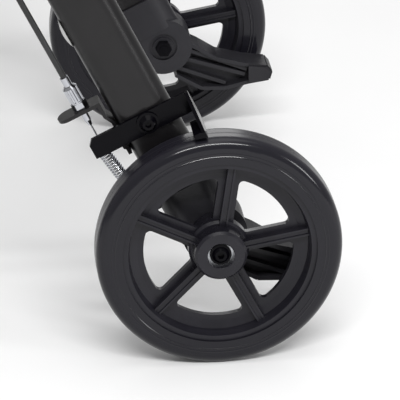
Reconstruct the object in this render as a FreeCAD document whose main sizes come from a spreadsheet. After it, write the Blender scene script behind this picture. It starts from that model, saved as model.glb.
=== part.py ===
"""Four-wheeled steerable knee scooter, as a parametric FreeCAD document.

Frame of the part: +X forward, +Y to the rider's left, +Z up, millimetres. The origin lies on
the ground, midway between the axles. Left-hand pieces are drawn and the right-hand ones are
their mirror images in the XZ plane.

Most pieces are drawn in one of three local frames and then placed:
  LEG    origin beside the rear axle line, Z along the rear leg's middle, X square to it and forward
  STEER  origin on the front axle line, Z up the steering axis, X square to it and forward
  BEAM   origin on the steering axis, X back and up along the main beam
"""
import FreeCAD, Part
import math
import os
import re

import Sketcher

V = FreeCAD.Vector
DOC = FreeCAD.newDocument("KneeScooter")
SHEET = DOC.addObject("Spreadsheet::Sheet", "Sizes")

# Driving sizes: each is one cell of the sheet and can be set by itself.
SIZES = {
    # wheels, all four alike
    "wheelbase": 600,
    "wheel_radius": 101.5,
    "tyre_width": 32,
    "tyre_shoulder": 9,
    "rim_radius": 80,
    "rim_width": 28,
    "lip_depth": 4.5,
    "web_radius": 67,
    "web_thickness": 5,
    "window_radius": 62,
    "window_corner": 4,
    "window_root_corner": 11,
    "spoke_width": 17,
    "spoke_phase": 262,
    "rib_spacing": 5,
    "rib_thickness": 1.6,
    "rib_depth": 18,
    "rib_groove": 1.2,
    "hub_radius": 21.5,
    "hub_collar_radius": 25,
    "hub_collar_depth": 12,
    "hub_half_length": 20,
    "recess_depth": 5,
    "bearing_radius": 11,
    "bearing_width": 7,
    "hub_bore_radius": 8.5,
    "axle_radius": 4,
    "running_gap": 0.05,
    "rear_half_track": 240,
    "front_half_track": 165,
    # rear legs and their ends
    "leg_lean": 26.5,
    "leg_offset": 3,
    "leg_depth": 48,
    "leg_thickness": 28,
    "leg_wall": 2,
    "leg_to_hub": 4,
    "leg_start": 20,
    "crossbar_height": 335,
    "crossbar_radius": 19,
    "tube_wall": 2,
    "socket_wall": 3,
    "socket_length": 42,
    "foot_boss_radius": 27,
    "foot_sleeve_top": 50,
    "foot_sleeve_wall": 2.5,
    "lever_web": 6,
    "lever_rib": 3.5,
    "lever_half_width": 13,
    # rear brakes
    "tyre_to_pivot": 16.5,
    "pivot_radius": 4,
    "arm_half_height": 9,
    "arm_front": 51,
    "arm_rear": 37.5,
    "arm_sheet": 3,
    "arm_tab_depth": 22,
    "arm_side_gap": 0.5,
    "shoe_gap": 3,
    "shoe_outer": 13,
    "cable_offset": 43.5,
    "ledge_above_pivot": 28,
    "ledge_half_width": 8.5,
    "ledge_reach": 65,
    "strap_sheet": 3,
    "barrel_radius": 6.2,
    "stub_radius": 3,
    "housing_radius": 2.5,
    "wire_radius": 0.8,
    "spring_radius": 5.2,
    "spring_foot_height": 42,
    "spring_foot_offset": 37,
    # steering
    "steer_tilt": 12,
    "head_radius": 21,
    "head_bottom": 22,
    "head_top": 190,
    "column_radius": 15,
    "column_wall": 2.5,
    "bush_radius": 18,
    "kingpin_offset": 115,
    "kingpin_radius": 6,
    "kingpin_boss_radius": 15,
    "kingpin_boss_half": 26,
    "axle_beam_depth": 48,
    "axle_beam_height": 30,
    "knuckle_sheet": 6,
    "steer_arm": 50,
    "rod_pin_radius": 4,
    "rod_thickness": 5,
    # main beam and seat
    "beam_join": 140,
    "beam_height": 50,
    "beam_width": 44,
    "seat_x": 60,
    "seat_tube_radius": 19.5,
    "seat_post_radius": 16,
    "slide_gap": 0.1,
    "seat_tube_below": 131,
    "seat_tube_above": 61,
    "plate_gap": 13,
    "plate_sheet": 5,
    "pad_length": 350,
    "pad_width": 180,
    "pad_thickness": 70,
    "pad_setback": 5,
    # folding stem and handlebar
    "hinge_height": 456,
    "hinge_setback": 28,
    "hinge_radius": 9,
    "fold_pin_radius": 4,
    "hinge_plate": 10,
    "hinge_plate_front": 26,
    "hinge_plate_half": 24,
    "stem_radius": 17,
    "stem_top": 690,
    "post_radius": 14,
    "bar_height": 830,
    "bar_radius": 11,
    "bar_bend": 105,
    "bar_end": 250,
    "bar_sweep": 8,
    "grip_radius": 16,
    "grip_length": 118,
    "clamp_wall": 4,
    "clamp_height": 22,
    "cam_radius": 8,
    "cam_height": 14,
    "lever_length": 58,
    "skewer_radius": 3,
}

# Worked-out sizes: each is an expression of the driving sizes above.
DERIVED = {
    "rear_x": "-wheelbase/2",
    "front_x": "wheelbase/2",
    "leg_to_wheel": "hub_half_length+leg_thickness/2+leg_to_hub",
    "leg_y": "rear_half_track-leg_to_wheel",
    "leg_in": "leg_y-leg_thickness/2",
    "leg_out": "leg_y+leg_thickness/2",
    "foot_half_thickness": "leg_thickness/2+1",
    "foot_in": "leg_y-foot_half_thickness",
    "foot_out": "leg_y+foot_half_thickness",
    "cross_x": "rear_x+leg_offset*cos(leg_lean)+crossbar_height*sin(leg_lean)",
    "cross_z": "wheel_radius-leg_offset*sin(leg_lean)+crossbar_height*cos(leg_lean)",
    "join_x": "front_x-beam_join*sin(steer_tilt)",
    "join_z": "wheel_radius+beam_join*cos(steer_tilt)",
    "beam_rise": "atan2(cross_z-join_z; join_x-cross_x)",
    "beam_length": "(join_x-cross_x)/cos(beam_rise)",
    "pivot_height": "wheel_radius+tyre_to_pivot",
    "ledge_height": "pivot_height+ledge_above_pivot",
    "seat_z": "join_z+(join_x+seat_x)*tan(beam_rise)",
    "seat_tube_bottom": "seat_z-seat_tube_below",
    "seat_tube_top": "seat_z+seat_tube_above",
    "plate_underside": "seat_tube_top+plate_gap",
    "arm_out": "leg_out+arm_side_gap+arm_sheet",
    "arm_tab": "arm_out-arm_tab_depth",
    "arm_top": "pivot_height+arm_half_height",
    "arm_bottom": "pivot_height-arm_half_height",
    "strap_x": "leg_depth/2+0.2",
    "ledge_top": "ledge_height+strap_sheet",
    "steer_level": "kingpin_boss_half+1",
    "arm_level": "-(steer_level+knuckle_sheet)",
    "rod_top": "arm_level-0.5",
    "plate_y": "kingpin_offset+kingpin_boss_radius+7",
    "seat_place": "-seat_x",
    "stem_low": "hinge_height+0.3",
    "pad_bottom": "plate_underside+plate_sheet",
}

for row, (size_name, size_value) in enumerate(SIZES.items(), start=1):
    SHEET.set(f"A{row}", size_name)
    SHEET.set(f"B{row}", str(size_value))
    SHEET.setAlias(f"B{row}", size_name)
DOC.recompute()


# --- expressions ------------------------------------------------------------------------------


def expanded(text):
    """Write the worked-out sizes in an expression as what they stand for."""
    text = str(text)
    while True:
        longer = re.sub(r"[a-z][a-z_]*", lambda m: f"({DERIVED[m[0]]})" if m[0] in DERIVED else m[0], text)
        if longer == text:
            return text
        text = longer


def sized(text):
    """An expression that any object of the document can be bound to."""
    return re.sub(r"[a-z][a-z_]*", lambda m: f"Sizes.{m[0]}" if m[0] in SIZES else m[0], expanded(text))


def number(text):
    """The value that an expression has with the sheet's present sizes."""
    return float(SHEET.evalExpression(expanded(text)))


def vector_text(x, y, z):
    return f"create(<<vector>>; {sized(x)}; {sized(y)}; {sized(z)})"


AXES = {"x": (1, 0, 0), "y": (0, 1, 0), "z": (0, 0, 1), "cycle": (1, 1, 1)}


def placed(x=0, y=0, z=0, *turns):
    """A placement expression: a shift, then turns about the shifted axes in order."""
    steps = [f"create(<<placement>>; {vector_text(x, y, z)}; create(<<rotation>>; {vector_text(0, 0, 1)}; 0))"]
    for axis, angle in turns:
        turn = f"create(<<rotation>>; {vector_text(*AXES[axis])}; {sized(angle)})"
        steps.append(f"create(<<placement>>; {vector_text(0, 0, 0)}; {turn})")
    return " * ".join(steps)


WORLD = placed()
LEG = placed("rear_x", 0, "wheel_radius", ("y", "leg_lean")) + " * " + placed("leg_offset")
STEER = placed("front_x", 0, "wheel_radius", ("y", "-steer_tilt"))
BEAM = placed("join_x", 0, "join_z", ("z", 180), ("y", "-beam_rise"))
GRIP = STEER + " * " + placed(0, "bar_bend", "bar_height", ("z", "bar_sweep"))


# --- shapes -----------------------------------------------------------------------------------


def new(kind):
    return DOC.addObject(kind, kind.split("::")[1])


def bind(item, **sizes):
    for name, text in sizes.items():
        item.setExpression(name, sized(text))
    return item


def put(item, frame, x=0, y=0, z=0, *turns):
    item.setExpression("Placement", frame + " * " + placed(x, y, z, *turns))
    return item


TURN_TO = {"z": (), "y": (("x", -90),), "x": (("y", 90),)}


def rod(radius, start, length, along="z", at=(0, 0), frame=WORLD):
    """A round bar along an axis: at gives its two other coordinates, in X, Y, Z order."""
    bar = bind(new("Part::Cylinder"), Radius=radius, Height=length)
    where = {"x": (start, *at), "y": (at[0], start, at[1]), "z": (*at, start)}[along]
    return put(bar, frame, *where, *TURN_TO[along])


def taper(low_radius, high_radius, start, length, along="z", at=(0, 0), frame=WORLD):
    """A cone or frustum along an axis."""
    cone = bind(new("Part::Cone"), Radius1=low_radius, Radius2=high_radius, Height=length)
    where = {"x": (start, *at), "y": (at[0], start, at[1]), "z": (*at, start)}[along]
    return put(cone, frame, *where, *TURN_TO[along])


def ball(radius, x, y, z, frame=WORLD):
    return put(bind(new("Part::Sphere"), Radius=radius), frame, x, y, z)


def block(xs, ys, zs, frame=WORLD):
    """A box between two values on each axis."""
    spans = [f"({high})-({low})" for low, high in (xs, ys, zs)]
    box = bind(new("Part::Box"), Length=spans[0], Width=spans[1], Height=spans[2])
    return put(box, frame, xs[0], ys[0], zs[0])


def hexagon(radius, start, length, along="z", at=(0, 0), frame=WORLD):
    """A six-sided prism, radius being its corner's."""
    prism = bind(new("Part::Prism"), Circumradius=radius, Height=length)
    prism.Polygon = 6
    where = {"x": (start, *at), "y": (at[0], start, at[1]), "z": (*at, start)}[along]
    return put(prism, frame, *where, *TURN_TO[along])


def outline(sketch, points):
    """Add a closed polygon to a sketch, with every corner bound to its two expressions."""
    first = sketch.GeometryCount
    corners = [V(number(a), number(b), 0) for a, b in points]
    count = len(corners)
    for i in range(count):
        sketch.addGeometry(Part.LineSegment(corners[i], corners[(i + 1) % count]), False)
    for i in range(count):
        after = first + (i + 1) % count
        sketch.addConstraint(Sketcher.Constraint("Coincident", first + i, 2, after, 1))
    for i, pair in enumerate(points):
        for kind, text, value in zip(("DistanceX", "DistanceY"), pair, (corners[i].x, corners[i].y)):
            index = sketch.addConstraint(Sketcher.Constraint(kind, -1, 1, first + i, 1, value))
            sketch.setExpression(f"Constraints[{index}]", sized(text))


LIE_IN = {"xy": (), "xz": (("x", 90),), "yz": (("cycle", 120),)}


def slab(points, plane, low, high, frame=WORLD):
    """A polygon in a plane, made solid between two values of the third axis."""
    sketch = new("Sketcher::SketchObject")
    outline(sketch, points)
    base = {"xy": (0, 0, low), "xz": (0, high, 0), "yz": (low, 0, 0)}[plane]
    put(sketch, frame, *base, *LIE_IN[plane])
    solid = new("Part::Extrusion")
    solid.Base = sketch
    solid.DirMode = "Normal"
    solid.Solid = True
    return bind(solid, LengthFwd=f"({high})-({low})")


def oval(depth, thickness, low, high, y, frame=WORLD):
    """A flat-oval bar along Z: depth along X overall, thickness along Y, centred at y."""
    half = f"({thickness})/2"
    reach = f"({depth})/2-{half}"
    middle = block((f"-({reach})", reach), (f"({y})-{half}", f"({y})+{half}"), (low, high), frame)
    length = f"({high})-({low})"
    front = rod(half, low, length, "z", (reach, y), frame)
    back = rod(half, low, length, "z", (f"-({reach})", y), frame)
    return fuse(middle, front, back)


def fuse(*pieces):
    joined = new("Part::MultiFuse")
    joined.Shapes = list(pieces)
    joined.Refine = True
    return joined


def cut(base, *tools):
    result = new("Part::Cut")
    result.Base = base
    result.Tool = tools[0] if len(tools) == 1 else fuse(*tools)
    result.Refine = True
    return result


def overlap(first, second):
    result = new("Part::Common")
    result.Base = first
    result.Tool = second
    return result


def mirrored(piece):
    """The same piece for the other side."""
    image = new("Part::Mirroring")
    image.Source = piece
    image.Normal = V(0, 1, 0)
    return image


def collected(pieces):
    """Separate solids kept together as one sub-part."""
    bundle = new("Part::Compound")
    bundle.Links = list(pieces)
    return bundle


def both_sides(*pieces):
    return collected([*pieces, *[mirrored(p) for p in pieces]])


def feature(shape):
    """A shape worked out with Part's own functions, as an object of the document."""
    item = new("Part::Feature")
    item.Shape = shape
    return item


PARTS = []


def part(label, piece):
    """Name a finished sub-part."""
    piece.Label = label
    PARTS.append(piece)
    return piece


def left_and_right(label, piece):
    part(f"left_{label}", piece)
    part(f"right_{label}", mirrored(piece))


def tube(radius, wall, start, length, along="z", at=(0, 0), frame=WORLD):
    bore = rod(f"({radius})-({wall})", start, length, along, at, frame)
    return cut(rod(radius, start, length, along, at, frame), bore)


def ring(outer, inner, start, length, along="z", at=(0, 0), frame=WORLD):
    return cut(rod(outer, start, length, along, at, frame), rod(inner, start, length, along, at, frame))


def button_screw(radius, head, start, length, along, at, frame=WORLD):
    """A flanged, hex-socket button screw whose head ends the bar's high end."""
    top = f"({start})+({length})"
    rise = 0.42 * head
    shank = rod(radius, start, length, along, at, frame)
    flange = rod(head, top, 0.14 * head, along, at, frame)
    dome = taper(0.78 * head, 0.5 * head, f"{top}+{0.14 * head}", rise, along, at, frame)
    socket = hexagon(0.3 * head, f"{top}+{0.3 * head}", 0.3 * head, along, at, frame)
    return cut(fuse(shank, flange, dome), socket)


# --- bodies of revolution and the wheels --------------------------------------------------------


def plane_of(body, role):
    return [f for f in body.Origin.OriginFeatures if f.Role == role][0]


def sketch_on(body, role):
    sketch = body.newObject("Sketcher::SketchObject", "Profile")
    sketch.AttachmentSupport = [(plane_of(body, role), "")]
    sketch.MapMode = "FlatFace"
    return sketch


def revolve(body, points):
    """Turn a polygon of radius and height pairs about the body's Z axis."""
    sketch = sketch_on(body, "XZ_Plane")
    outline(sketch, points)
    turned = body.newObject("PartDesign::Revolution", "Turned")
    turned.Profile = sketch
    turned.ReferenceAxis = (sketch, ["V_Axis"])
    turned.Angle = 360
    DOC.recompute()
    return turned


def round_edges(body, base, radius, wanted):
    """Fillet the edges of a body's last feature that the test picks."""
    names = [f"Edge{i}" for i, edge in enumerate(base.Shape.Edges, start=1) if wanted(edge)]
    rounding = body.newObject("PartDesign::Fillet", "Rounding")
    rounding.Base = (base, names)
    rounding.setExpression("Radius", sized(radius))
    DOC.recompute()
    return rounding


def repeat_round(body, feature_to_repeat, count):
    pattern = body.newObject("PartDesign::PolarPattern", "Round")
    pattern.Originals = [feature_to_repeat]
    pattern.Axis = (plane_of(body, "Z_Axis"), [""])
    pattern.Angle = 360
    pattern.Occurrences = count
    body.Tip = pattern
    DOC.recompute()
    return pattern


SPOKES = 5


def window_sketch(body):
    """One window between two spokes: two straight sides, an outer arc and three round corners."""
    sketch = sketch_on(body, "XY_Plane")
    half_angle = math.pi / SPOKES
    outer = number("window_radius")
    corner = number("window_corner")
    root = number("window_root_corner")
    offset = number("spoke_width/2")
    along = V(math.cos(half_angle), math.sin(half_angle), 0)
    inward = V(math.sin(half_angle), -math.cos(half_angle), 0)
    corner_run = math.sqrt((outer - corner) ** 2 - (offset + corner) ** 2)
    corner_centre = along * corner_run + inward * (offset + corner)
    root_x = (offset + root) / math.sin(half_angle)
    low_end = along * (root_x * math.cos(half_angle)) + inward * offset
    high_end = along * corner_run + inward * offset
    outward_angle = math.atan2(-inward.y, -inward.x)
    corner_angle = math.atan2(corner_centre.y, corner_centre.x)
    flip = lambda p: V(p.x, -p.y, 0)
    up = V(0, 0, 1)
    arc = lambda centre, radius, a, b: Part.ArcOfCircle(Part.Circle(centre, up, radius), a, b)
    sketch.addGeometry(Part.LineSegment(low_end, high_end), False)
    sketch.addGeometry(arc(corner_centre, corner, corner_angle, outward_angle), False)
    sketch.addGeometry(arc(V(0, 0, 0), outer, -corner_angle, corner_angle), False)
    sketch.addGeometry(arc(flip(corner_centre), corner, -outward_angle, -corner_angle), False)
    sketch.addGeometry(Part.LineSegment(flip(high_end), flip(low_end)), False)
    sketch.addGeometry(arc(V(root_x, 0, 0), root, outward_angle, 2 * math.pi - outward_angle), False)
    for one, its_end, other, other_end in ((1, 2, 0, 2), (2, 2, 1, 1), (3, 2, 2, 1), (4, 1, 3, 1),
                                           (5, 2, 4, 2), (0, 1, 5, 1)):
        sketch.addConstraint(Sketcher.Constraint("Tangent", one, its_end, other, other_end))
    sketch.addConstraint(Sketcher.Constraint("Coincident", 2, 3, -1, 1))
    for curve, text in ((2, "window_radius"), (1, "window_corner"), (3, "window_corner"),
                        (5, "window_root_corner")):
        index = sketch.addConstraint(Sketcher.Constraint("Radius", curve, number(text)))
        sketch.setExpression(f"Constraints[{index}]", sized(text))
    for line in (0, 4):
        index = sketch.addConstraint(Sketcher.Constraint("Distance", -1, 1, line, offset))
        sketch.setExpression(f"Constraints[{index}]", sized("spoke_width/2"))
    sketch.addConstraint(Sketcher.Constraint("Angle", -1, 1, 0, 1, half_angle))
    sketch.addConstraint(Sketcher.Constraint("Angle", 4, 2, -1, 1, half_angle))
    return sketch


def rim_body(x, y):
    """Moulded rim: barrel, web with five windows, paired ribs on each spoke, and a stepped hub."""
    body = new("PartDesign::Body")
    lip = "rim_radius-lip_depth"
    half = "rim_width/2"
    web = "web_thickness/2"
    deep = "(web_radius+rim_radius)/2"
    upper = [("rim_radius", half), (lip, half), (f"{lip}-1.5", f"{half}-6"),
             (deep, f"{web}+2"), ("web_radius", web), ("hub_radius-2", web)]
    lower = [(r, f"-({z})") for r, z in reversed(upper)]
    revolve(body, lower + upper)
    window = body.newObject("PartDesign::Pocket", "Window")
    window.Profile = window_sketch(body)
    window.Type = 1
    window.Midplane = True
    DOC.recompute()
    solid_before = body.Shape.Volume
    repeat_round(body, window, SPOKES)
    if not body.Shape.Volume < solid_before:
        raise RuntimeError("the rim's windows cut nothing")
    ribs = sketch_on(body, "XY_Plane")
    rib_end = f"{deep}+2"
    for side in ("", "-"):
        near = f"{side}(rib_spacing-rib_thickness)/2"
        far = f"{side}(rib_spacing+rib_thickness)/2"
        corners = [("hub_radius-1", near), (rib_end, near), (rib_end, far), ("hub_radius-1", far)]
        outline(ribs, corners)
    angle = number(180 / SPOKES)
    middle = sketch_on(body, "XY_Plane")
    outline(middle, [("hub_radius-1", "-rib_spacing/2"), (rib_end, "-rib_spacing/2"),
                     (rib_end, "rib_spacing/2"), ("hub_radius-1", "rib_spacing/2")])
    for sketch, name, depth in ((ribs, "Ribs", "rib_depth"), (middle, "Ridge", "rib_depth-2*rib_groove")):
        rib = body.newObject("PartDesign::Pad", name)
        rib.Profile = sketch
        rib.Midplane = True
        rib.setExpression("Length", sized(depth))
        sketch.AttachmentOffset = FreeCAD.Placement(V(0, 0, 0), FreeCAD.Rotation(V(0, 0, 1), angle))
        DOC.recompute()
        repeat_round(body, rib, SPOKES)
    recess = "hub_half_length-recess_depth"
    inner = "bearing_width-hub_half_length"
    outer = f"{recess}-bearing_width"
    seat = "bearing_radius"
    revolve(body, [
        (seat, "-hub_half_length"), ("hub_radius", "-hub_half_length"), ("hub_radius", "hub_half_length-2"),
        ("hub_radius-2", "hub_half_length"), (f"{seat}+0.5", "hub_half_length"), (seat,
                "hub_half_length-0.5"),
        (seat, outer), ("hub_bore_radius", outer), ("hub_bore_radius", inner), (seat, inner)])
    collar = "hub_collar_depth/2"
    revolve(body, [("hub_radius-2", f"-({collar})"), ("hub_collar_radius-2", f"-({collar})"),
                   ("hub_collar_radius", f"-({collar})+2"), ("hub_collar_radius", f"{collar}-2"),
                   ("hub_collar_radius-2", collar), ("hub_radius-2", collar)])
    return put(body, WORLD, x, y, "wheel_radius", ("x", -90), ("z", f"spoke_phase-{180 / SPOKES}"))


def tyre_body(x, y):
    """Solid tyre with round shoulders."""
    body = new("PartDesign::Body")
    half = "tyre_width/2"
    ring_shape = revolve(body, [("rim_radius", f"-{half}"), ("wheel_radius", f"-{half}"),
                                ("wheel_radius", half), ("rim_radius", half)])
    tread = number("wheel_radius")
    round_edges(body, ring_shape, "tyre_shoulder",
                lambda edge: edge.BoundBox.XMax > tread - 0.01 and hasattr(edge.Curve, "Radius"))
    return put(body, WORLD, x, y, "wheel_radius", ("x", -90))


def wheel(name, x, y):
    """The three sub-parts of one left-hand wheel, and their mirror images on the right."""
    at = (x, "wheel_radius")
    rims = rim_body(x, y)
    tyres = tyre_body(x, y)
    outboard = f"{y}+hub_half_length-recess_depth-bearing_width"
    bore = "axle_radius+running_gap"
    races = [ring("bearing_radius", bore, start, "bearing_width", "y", at)
             for start in (f"{y}-hub_half_length", outboard)]
    bearings = collected(races)
    for label, piece in (("rim", rims), ("tyre", tyres), ("bearings", bearings)):
        part(f"{name}_left_{label}", piece)
        part(f"{name}_right_{label}", mirrored(piece))


def make_wheels():
    wheel("rear", "rear_x", "rear_half_track")
    wheel("front", "front_x", "front_half_track")


# --- rear legs, feet, crossbar ------------------------------------------------------------------


def make_legs():
    inner_depth = "leg_depth-2*leg_wall"
    inner_thickness = "leg_thickness-2*leg_wall"
    leg_end = "crossbar_height-crossbar_radius-1"
    shell = oval("leg_depth", "leg_thickness", "leg_start", leg_end, "leg_y", LEG)
    hollow = oval(inner_depth, inner_thickness, "leg_start", leg_end, "leg_y", LEG)
    pin_hole = rod("pivot_radius", "leg_in-1", "leg_thickness+2", "y", (0, "pivot_height"), LEG)
    left_and_right("leg", cut(shell, hollow, pin_hole))

    socket_radius = "crossbar_radius+socket_wall+2"
    low = "crossbar_height-socket_length"
    sleeve = oval("leg_depth+2*socket_wall", "leg_thickness+2*socket_wall", low, "crossbar_height",
            "leg_y", LEG)
    barrel = rod(socket_radius, "leg_in-4", "leg_thickness+8", "y", (0, "crossbar_height"), LEG)
    leg_seat = oval("leg_depth", "leg_thickness", low, leg_end, "leg_y", LEG)
    bar_seat = rod("crossbar_radius", "leg_in-5", "leg_thickness+10", "y", (0, "crossbar_height"), LEG)
    part("leg_sockets", both_sides(cut(fuse(sleeve, barrel), leg_seat, bar_seat)))

    cross = ("cross_x", "cross_z")
    bar = tube("crossbar_radius", "tube_wall", "-leg_out-3", "2*leg_out+6", "y", cross)
    plug_rod = rod("crossbar_radius-tube_wall", "leg_out-9", 12, "y", cross)
    plug_cap = taper("crossbar_radius", "crossbar_radius-2.5", "leg_out+3", 3, "y", cross)
    part("rear_crossbar", bar)
    part("crossbar_caps", both_sides(fuse(plug_rod, plug_cap)))

    bumper = ball(32, "leg_depth/2-29", "leg_y", 214, LEG)
    window = block(("leg_depth/2+0.05", "leg_depth/2+6"), ("leg_y-6", "leg_y+6"), (200, 228), LEG)
    part("leg_bumpers", both_sides(overlap(bumper, window)))


def foot_point(back, up):
    """A point of the tip lever's outline, from the axle."""
    return (f"rear_x-({back})", f"wheel_radius+({up})")


def lever_strip(start, end, thickness, half_width):
    """A straight rib of the tip lever between two points of its side view."""
    (x0, z0), (x1, z1) = start, end
    run = math.hypot(x1 - x0, z1 - z0)
    shift_x = (z1 - z0) / run / 2
    shift_z = (x1 - x0) / run / 2
    corners = []
    for (x, z), sign in ((start, 1), (end, 1), (end, -1), (start, -1)):
        corners.append(foot_point(f"{x}-{sign * shift_x:.4f}*{thickness}",
                f"{z}+{sign * shift_z:.4f}*{thickness}"))
    return slab(corners, "xz", f"leg_y-({half_width})", f"leg_y+({half_width})")


# Outline of the tip lever in side view: how far behind and above the axle each corner is.
LEVER_OUTLINE = [(10, 8), (33, -4), (50, -15), (76, -22), (97, -25), (101, -30), (99, -37), (79, -40),
                 (58, -45), (36, -44), (12, -30)]
LEVER_RIBS = [((22, -4), (80, -27)), ((20, -13), (78, -32)), ((14, -22), (60, -40))]


def make_feet():
    axle = ("rear_x", "wheel_radius")
    thick = "2*foot_half_thickness"
    wide = "leg_depth+2*foot_sleeve_wall"
    deep = "leg_thickness+2*foot_sleeve_wall"
    boss = rod("foot_boss_radius", "foot_in", thick, "y", axle)
    neck = oval(wide, thick, 0, "leg_start", "leg_y", LEG)
    sleeve = oval(wide, deep, "leg_start-4", "foot_sleeve_top", "leg_y", LEG)
    web = slab([foot_point(b, u) for b, u in LEVER_OUTLINE], "xz", "leg_y-lever_web/2", "leg_y+lever_web/2")
    pieces = [boss, neck, sleeve, web]
    edge = LEVER_OUTLINE[:-1]
    for start, end in zip(edge, edge[1:]):
        pieces.append(lever_strip(start, end, "lever_rib", "lever_half_width"))
    pieces.append(lever_strip(LEVER_OUTLINE[-2], LEVER_OUTLINE[-1], "lever_rib", "lever_half_width"))
    for start, end in LEVER_RIBS:
        pieces.append(lever_strip(start, end, "lever_rib-1", "lever_half_width-3"))
    pad = [foot_point(b, u) for b, u in ((80, -23), (97, -25), (101, -30), (99, -37), (80, -40))]
    pieces.append(slab(pad, "xz", "foot_in", "foot_out"))
    ear_low = "spring_foot_height-5"
    pieces.append(block(("leg_depth/2", "spring_foot_offset+5"), ("leg_y-2", "leg_y+2"),
                        (ear_low, "spring_foot_height+5"), LEG))
    hook_hole = rod(2, "leg_y-3", 6, "y", ("spring_foot_offset", "spring_foot_height"), LEG)
    leg_seat = oval("leg_depth", "leg_thickness", "leg_start", "foot_sleeve_top", "leg_y", LEG)
    axle_hole = rod("axle_radius", "foot_in-1", f"{thick}+2", "y", axle)
    recess = ring(13, 9.5, "foot_in-1", 3, "y", axle)
    left_and_right("leg_foot", cut(fuse(*pieces), leg_seat, axle_hole, recess, hook_hole))

    wheel_face = "rear_half_track+hub_half_length"
    head = f"{wheel_face}-recess_depth+0.3"
    shank = rod("axle_radius", "foot_in-7", f"{head}-(foot_in-7)", "y", axle)
    flange = rod(9, head, 1.6, "y", axle)
    dome = taper(7.2, 4.8, f"{head}+1.6", 2.6, "y", axle)
    socket = hexagon(2.9, f"{head}+1.2", 4, "y", axle)
    bolt = cut(fuse(shank, flange, dome), socket)
    nut = cut(hexagon(7.5, "foot_in-6.5", 6.4, "y", axle), rod("axle_radius", "foot_in-8", 10, "y", axle))
    washer = ring(9, "axle_radius", "foot_out+0.1",
            "leg_to_wheel-hub_half_length-foot_half_thickness-0.4", "y", axle)
    inner_race = "rear_half_track-hub_half_length+bearing_width"
    between = "2*hub_half_length-recess_depth-2*bearing_width-0.6"
    spacer = ring("axle_radius+1.8", "axle_radius", f"{inner_race}+0.3", between, "y", axle)
    part("rear_axle_bolts", both_sides(bolt, nut, washer, spacer))


FLUTES = 10


# --- rear brakes --------------------------------------------------------------------------------


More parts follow.
